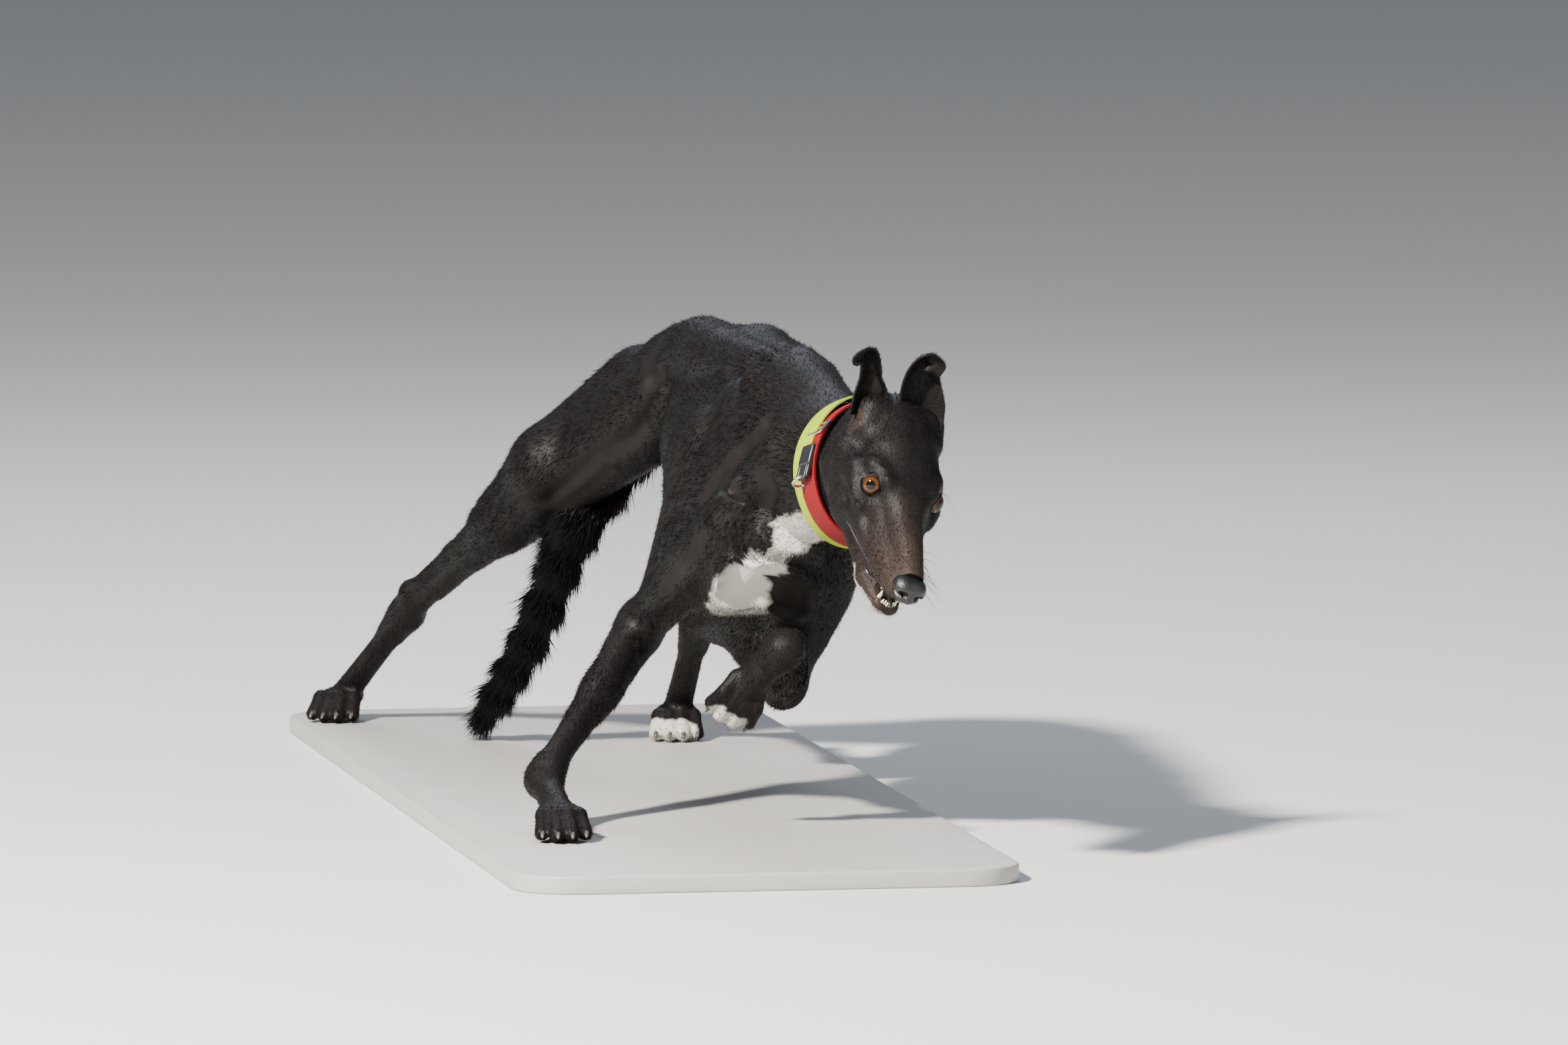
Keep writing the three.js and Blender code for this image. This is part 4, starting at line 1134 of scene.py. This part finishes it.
# Coat
# Short hair in thousands of fine tufts lying back along the muscles, shortest on the
# head and feet, longer on the chest, thighs and belly edge, and a feathered tail.
def surface(obj):
    """Unwraps a piece and gives its triangles: corners, corner uvs, areas and normals."""
    pick(obj)
    bpy.ops.object.mode_set(mode="EDIT")
    bpy.ops.mesh.select_all(action="SELECT")
    bpy.ops.uv.smart_project(angle_limit=math.radians(66), island_margin=0.002)
    bpy.ops.object.mode_set(mode="OBJECT")
    obj.data.uv_layers[0].name = "OFBake"
    mesh = obj.data
    mesh.calc_loop_triangles()
    corners = np.empty(len(mesh.loop_triangles) * 3, int)
    mesh.loop_triangles.foreach_get("vertices", corners)
    loops = np.empty(len(mesh.loop_triangles) * 3, int)
    mesh.loop_triangles.foreach_get("loops", loops)
    uvs = np.empty(len(mesh.loops) * 2)
    mesh.uv_layers["OFBake"].data.foreach_get("uv", uvs)
    tri = points_of(obj)[corners.reshape(-1, 3)]
    cross = np.cross(tri[:, 1] - tri[:, 0], tri[:, 2] - tri[:, 0])
    tri_uv = uvs.reshape(-1, 2)[loops.reshape(-1, 3)]
    return tri, tri_uv, np.linalg.norm(cross, axis=1) / 2, unit(cross)


whole_skin = surface(skin)
middle = whole_skin[0].mean(1)
value, _, lie = flesh(middle, COAT_DEPTH)
local = skull.local(middle)
on_head = (np.linalg.norm(local, axis=1) < HEAD_REACH) & (local[:, 0] > -75)
on_foot = distance_to(middle, FEET) < 80
on_shank = (middle[:, 2] < 190) & ~on_head & ~on_foot
on_tail = distance_to(middle, tail_dense) < 26
# No hair grows inside the mouth and the sockets, on the lids' edges or on the nose.
INSIDE = -2.2
LID_EDGE = 14.5
NOSE_EDGE = 19
open_skin = ((value >= INSIDE) & (distance_to(middle, EYES.values()) > LID_EDGE)
             & (distance_to(middle, [skull(*NOSE_AT)]) > NOSE_EDGE))

LENGTH_BODY, LENGTH_HEAD, LENGTH_FOOT, LENGTH_SHANK = 9.0, 4.2, 5.0, 6.5
length_here = np.where(on_head, LENGTH_HEAD, LENGTH_BODY)
length_here = np.where(on_foot, LENGTH_FOOT, length_here)
length_here = np.where(on_shank, LENGTH_SHANK, length_here)
SCATTER = 0.16
ROOT_SINK = 0.5
UV_PATCH = 0.003


def tufts(name, count, chosen, length_of, width, lift, seed, ground=whole_skin, lie=lie):
    """Thin closed spikes rooted on the chosen triangles, lying along the coat."""
    draw = np.random.default_rng(seed)
    tri, tri_uv, area, normal = ground
    weight = area * chosen / np.maximum(length_of, 1) ** 1.1
    weight = weight / weight.sum()
    k = draw.choice(len(area), count, p=weight)
    u, v = draw.random((2, count))
    flip = u + v > 1
    u[flip], v[flip] = 1 - u[flip], 1 - v[flip]
    bary = np.stack([1 - u - v, u, v], 1)
    root = (tri[k] * bary[..., None]).sum(1)
    uv = (tri_uv[k] * bary[..., None]).sum(1)
    n = normal[k]
    way = lie[k] - n * (lie[k] * n).sum(1, keepdims=True)
    way = unit(way + SCATTER * draw.normal(size=way.shape))
    size = length_of[k] * draw.uniform(0.7, 1.25, count)
    side = unit(np.cross(n, way)) * (width * draw.uniform(0.7, 1.2, count))[:, None] / 2
    sunk = root - n * ROOT_SINK
    tip = root + unit(way + n * lift * draw.uniform(0.5, 1.5, (count, 1))) * size[:, None]
    tall = n * (width * 0.35)
    verts = np.stack([sunk - side, sunk + side, sunk + tall + way * size[:, None] * 0.25, tip], 1)
    faces = np.array([[0, 2, 3], [2, 1, 3], [1, 0, 3], [0, 1, 2]])
    index = (np.arange(count)[:, None, None] * 4 + faces[None]).reshape(-1)
    mesh = bpy.data.meshes.new(name)
    mesh.vertices.add(count * 4)
    mesh.vertices.foreach_set("co", ((verts.reshape(-1, 3) + ORIGIN) * MM).ravel())
    mesh.loops.add(count * 12)
    mesh.loops.foreach_set("vertex_index", index)
    mesh.polygons.add(count * 4)
    mesh.polygons.foreach_set("loop_start", np.arange(count * 4) * 3)
    mesh.update(calc_edges=True)
    corner_uv = np.array([[0, 0], [1, 0], [0, 1], [1, 1]]) * UV_PATCH
    layer = mesh.uv_layers.new(name="OFBake")
    per_vertex = uv[:, None, :] + corner_uv[None]
    layer.data.foreach_set("uv", per_vertex.reshape(-1, 2)[index].ravel())
    piece = bpy.data.objects.new(name, mesh)
    bpy.context.collection.objects.link(piece)
    white, brown, _ = markings(root)
    shade = draw.random(count)
    set_masks(piece, [np.repeat(m, 4) for m in (white, brown, shade)])
    mesh.materials.append(tuft_coat)
    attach(piece, "root")


BODY_PIECES = 5
body_area = (open_skin & ~on_head & ~on_tail).astype(float)
for i in range(BODY_PIECES):
    tufts(f"coat_body_{i + 1}", 48000, body_area, length_here, 0.75, 0.09, 100 + i)
head_area = (open_skin & on_head).astype(float)
tufts("coat_head", 48000, head_area, length_here, 0.55, 0.10, 200)

TAIL_LENGTH = 32.0
brush_length = np.where(on_tail, TAIL_LENGTH, 1.0)
tufts("coat_tail", 26000, on_tail.astype(float), brush_length, 0.9, 0.14, 300)

# Longer hair stands off where the form turns: chest, belly edge, flank, thigh backs.
fringe = np.zeros(len(middle))
for a, b, radius in ((chest(130, 0, -235), chest(-40, 0, -302), 40),
                     (chest(-190, 0, -250), pelvis(60, 0, -20), 45),
                     (pelvis(-88, -40, 0), hind_right["knee"], 60),
                     (pelvis(-88, 40, 0), hind_left["knee"], 60),
                     *[(leg["point"], mid(leg["elbow"], leg["wrist"], 0.6), 26)
                       for leg in (fore_right, fore_left)]):
    fringe = np.maximum(fringe, rod(middle, a, b, radius) > 0)
LENGTH_FRINGE, LENGTH_EAR = 10.0, 4.5
fringe_length = np.full(len(middle), LENGTH_FRINGE)
tufts("coat_fringe", 26000, fringe * open_skin, fringe_length, 0.8, 0.16, 400)

for side, leaf, seed in (("right", right_ear, 600), ("left", left_ear, 601)):
    leaf_skin = surface(leaf)
    every = np.ones(len(leaf_skin[2]))
    up_ear = (skull.up - 0.3 * skull.forward) * every[:, None]
    tufts(f"coat_ear_{side}", 6000, every, LENGTH_EAR * every, 0.5, 0.14, seed, leaf_skin, up_ear)

# Whiskers: a few long stiff hairs on the lips and brows.
WHISKER_RADIUS = 0.28
whisker_mat, nodes, links, shader = material("whisker", (0.02, 0.018, 0.017), 0.35)
bump(nodes, links, shader, noise(nodes, links, 900, 1), 0.05, 0.0001)
roots = []
for s in (-1, 1):
    for row in range(3):
        for i in range(5):
            roots.append((84 - 9 * i + 3 * row, -30 - 6 * row, s, 38 - 3 * i))
    roots.append((6, 14, s, 26))
    roots.append((2, 13, s, 22))
draw = np.random.default_rng(500)
for i, (x, z, s, reach) in enumerate(roots):
    start = skull(x, s * cheek_at(x, z, s), z)
    aim = unit(skull.turn @ at(0.35, s * 1.0, -0.25) + 0.25 * draw.normal(size=3))
    t = np.linspace(0, 1, 7)
    line = start + aim * (t * reach)[:, None] - skull.up * (5 * t ** 2)[:, None]
    tube(f"whisker_{i + 1}", line, WHISKER_RADIUS * (1 - 0.85 * t), whisker_mat, 5)

# Floor and light
# A pale floor, a large key light high on the camera's left, a cool fill and a rim.
bpy.ops.mesh.primitive_plane_add(size=60, location=(0, 0, 0))
floor = bpy.context.object
floor.name = "floor"
floor.data.materials.append(material("floor", (0.62, 0.62, 0.60), 0.75)[0])

world = bpy.data.worlds.new("studio")
world.use_nodes = True
world.node_tree.nodes["Background"].inputs["Color"].default_value = (0.78, 0.86, 1.0, 1)
world.node_tree.nodes["Background"].inputs["Strength"].default_value = 0.24
bpy.context.scene.world = world


def lamp(name, place, aim, size, power, colour):
    bpy.ops.object.light_add(type="AREA", location=place)
    light = bpy.context.object
    light.name = name
    light.data.size = size
    light.data.energy = power
    light.data.color = colour
    light.rotation_euler = (Vector(aim) - Vector(place)).to_track_quat("-Z", "Y").to_euler()


lamp("key", (3.4, -3.6, 4.2), (0.2, 0, 0.3), 0.5, 1750, (1.0, 0.96, 0.90))
lamp("fill", (3.0, 3.0, 1.6), (0.2, 0, 0.3), 2.5, 40, (0.85, 0.92, 1.0))
lamp("rim", (-3.0, 0.5, 3.5), (0, 0, 0.3), 2.0, 90, (0.8, 0.88, 1.0))
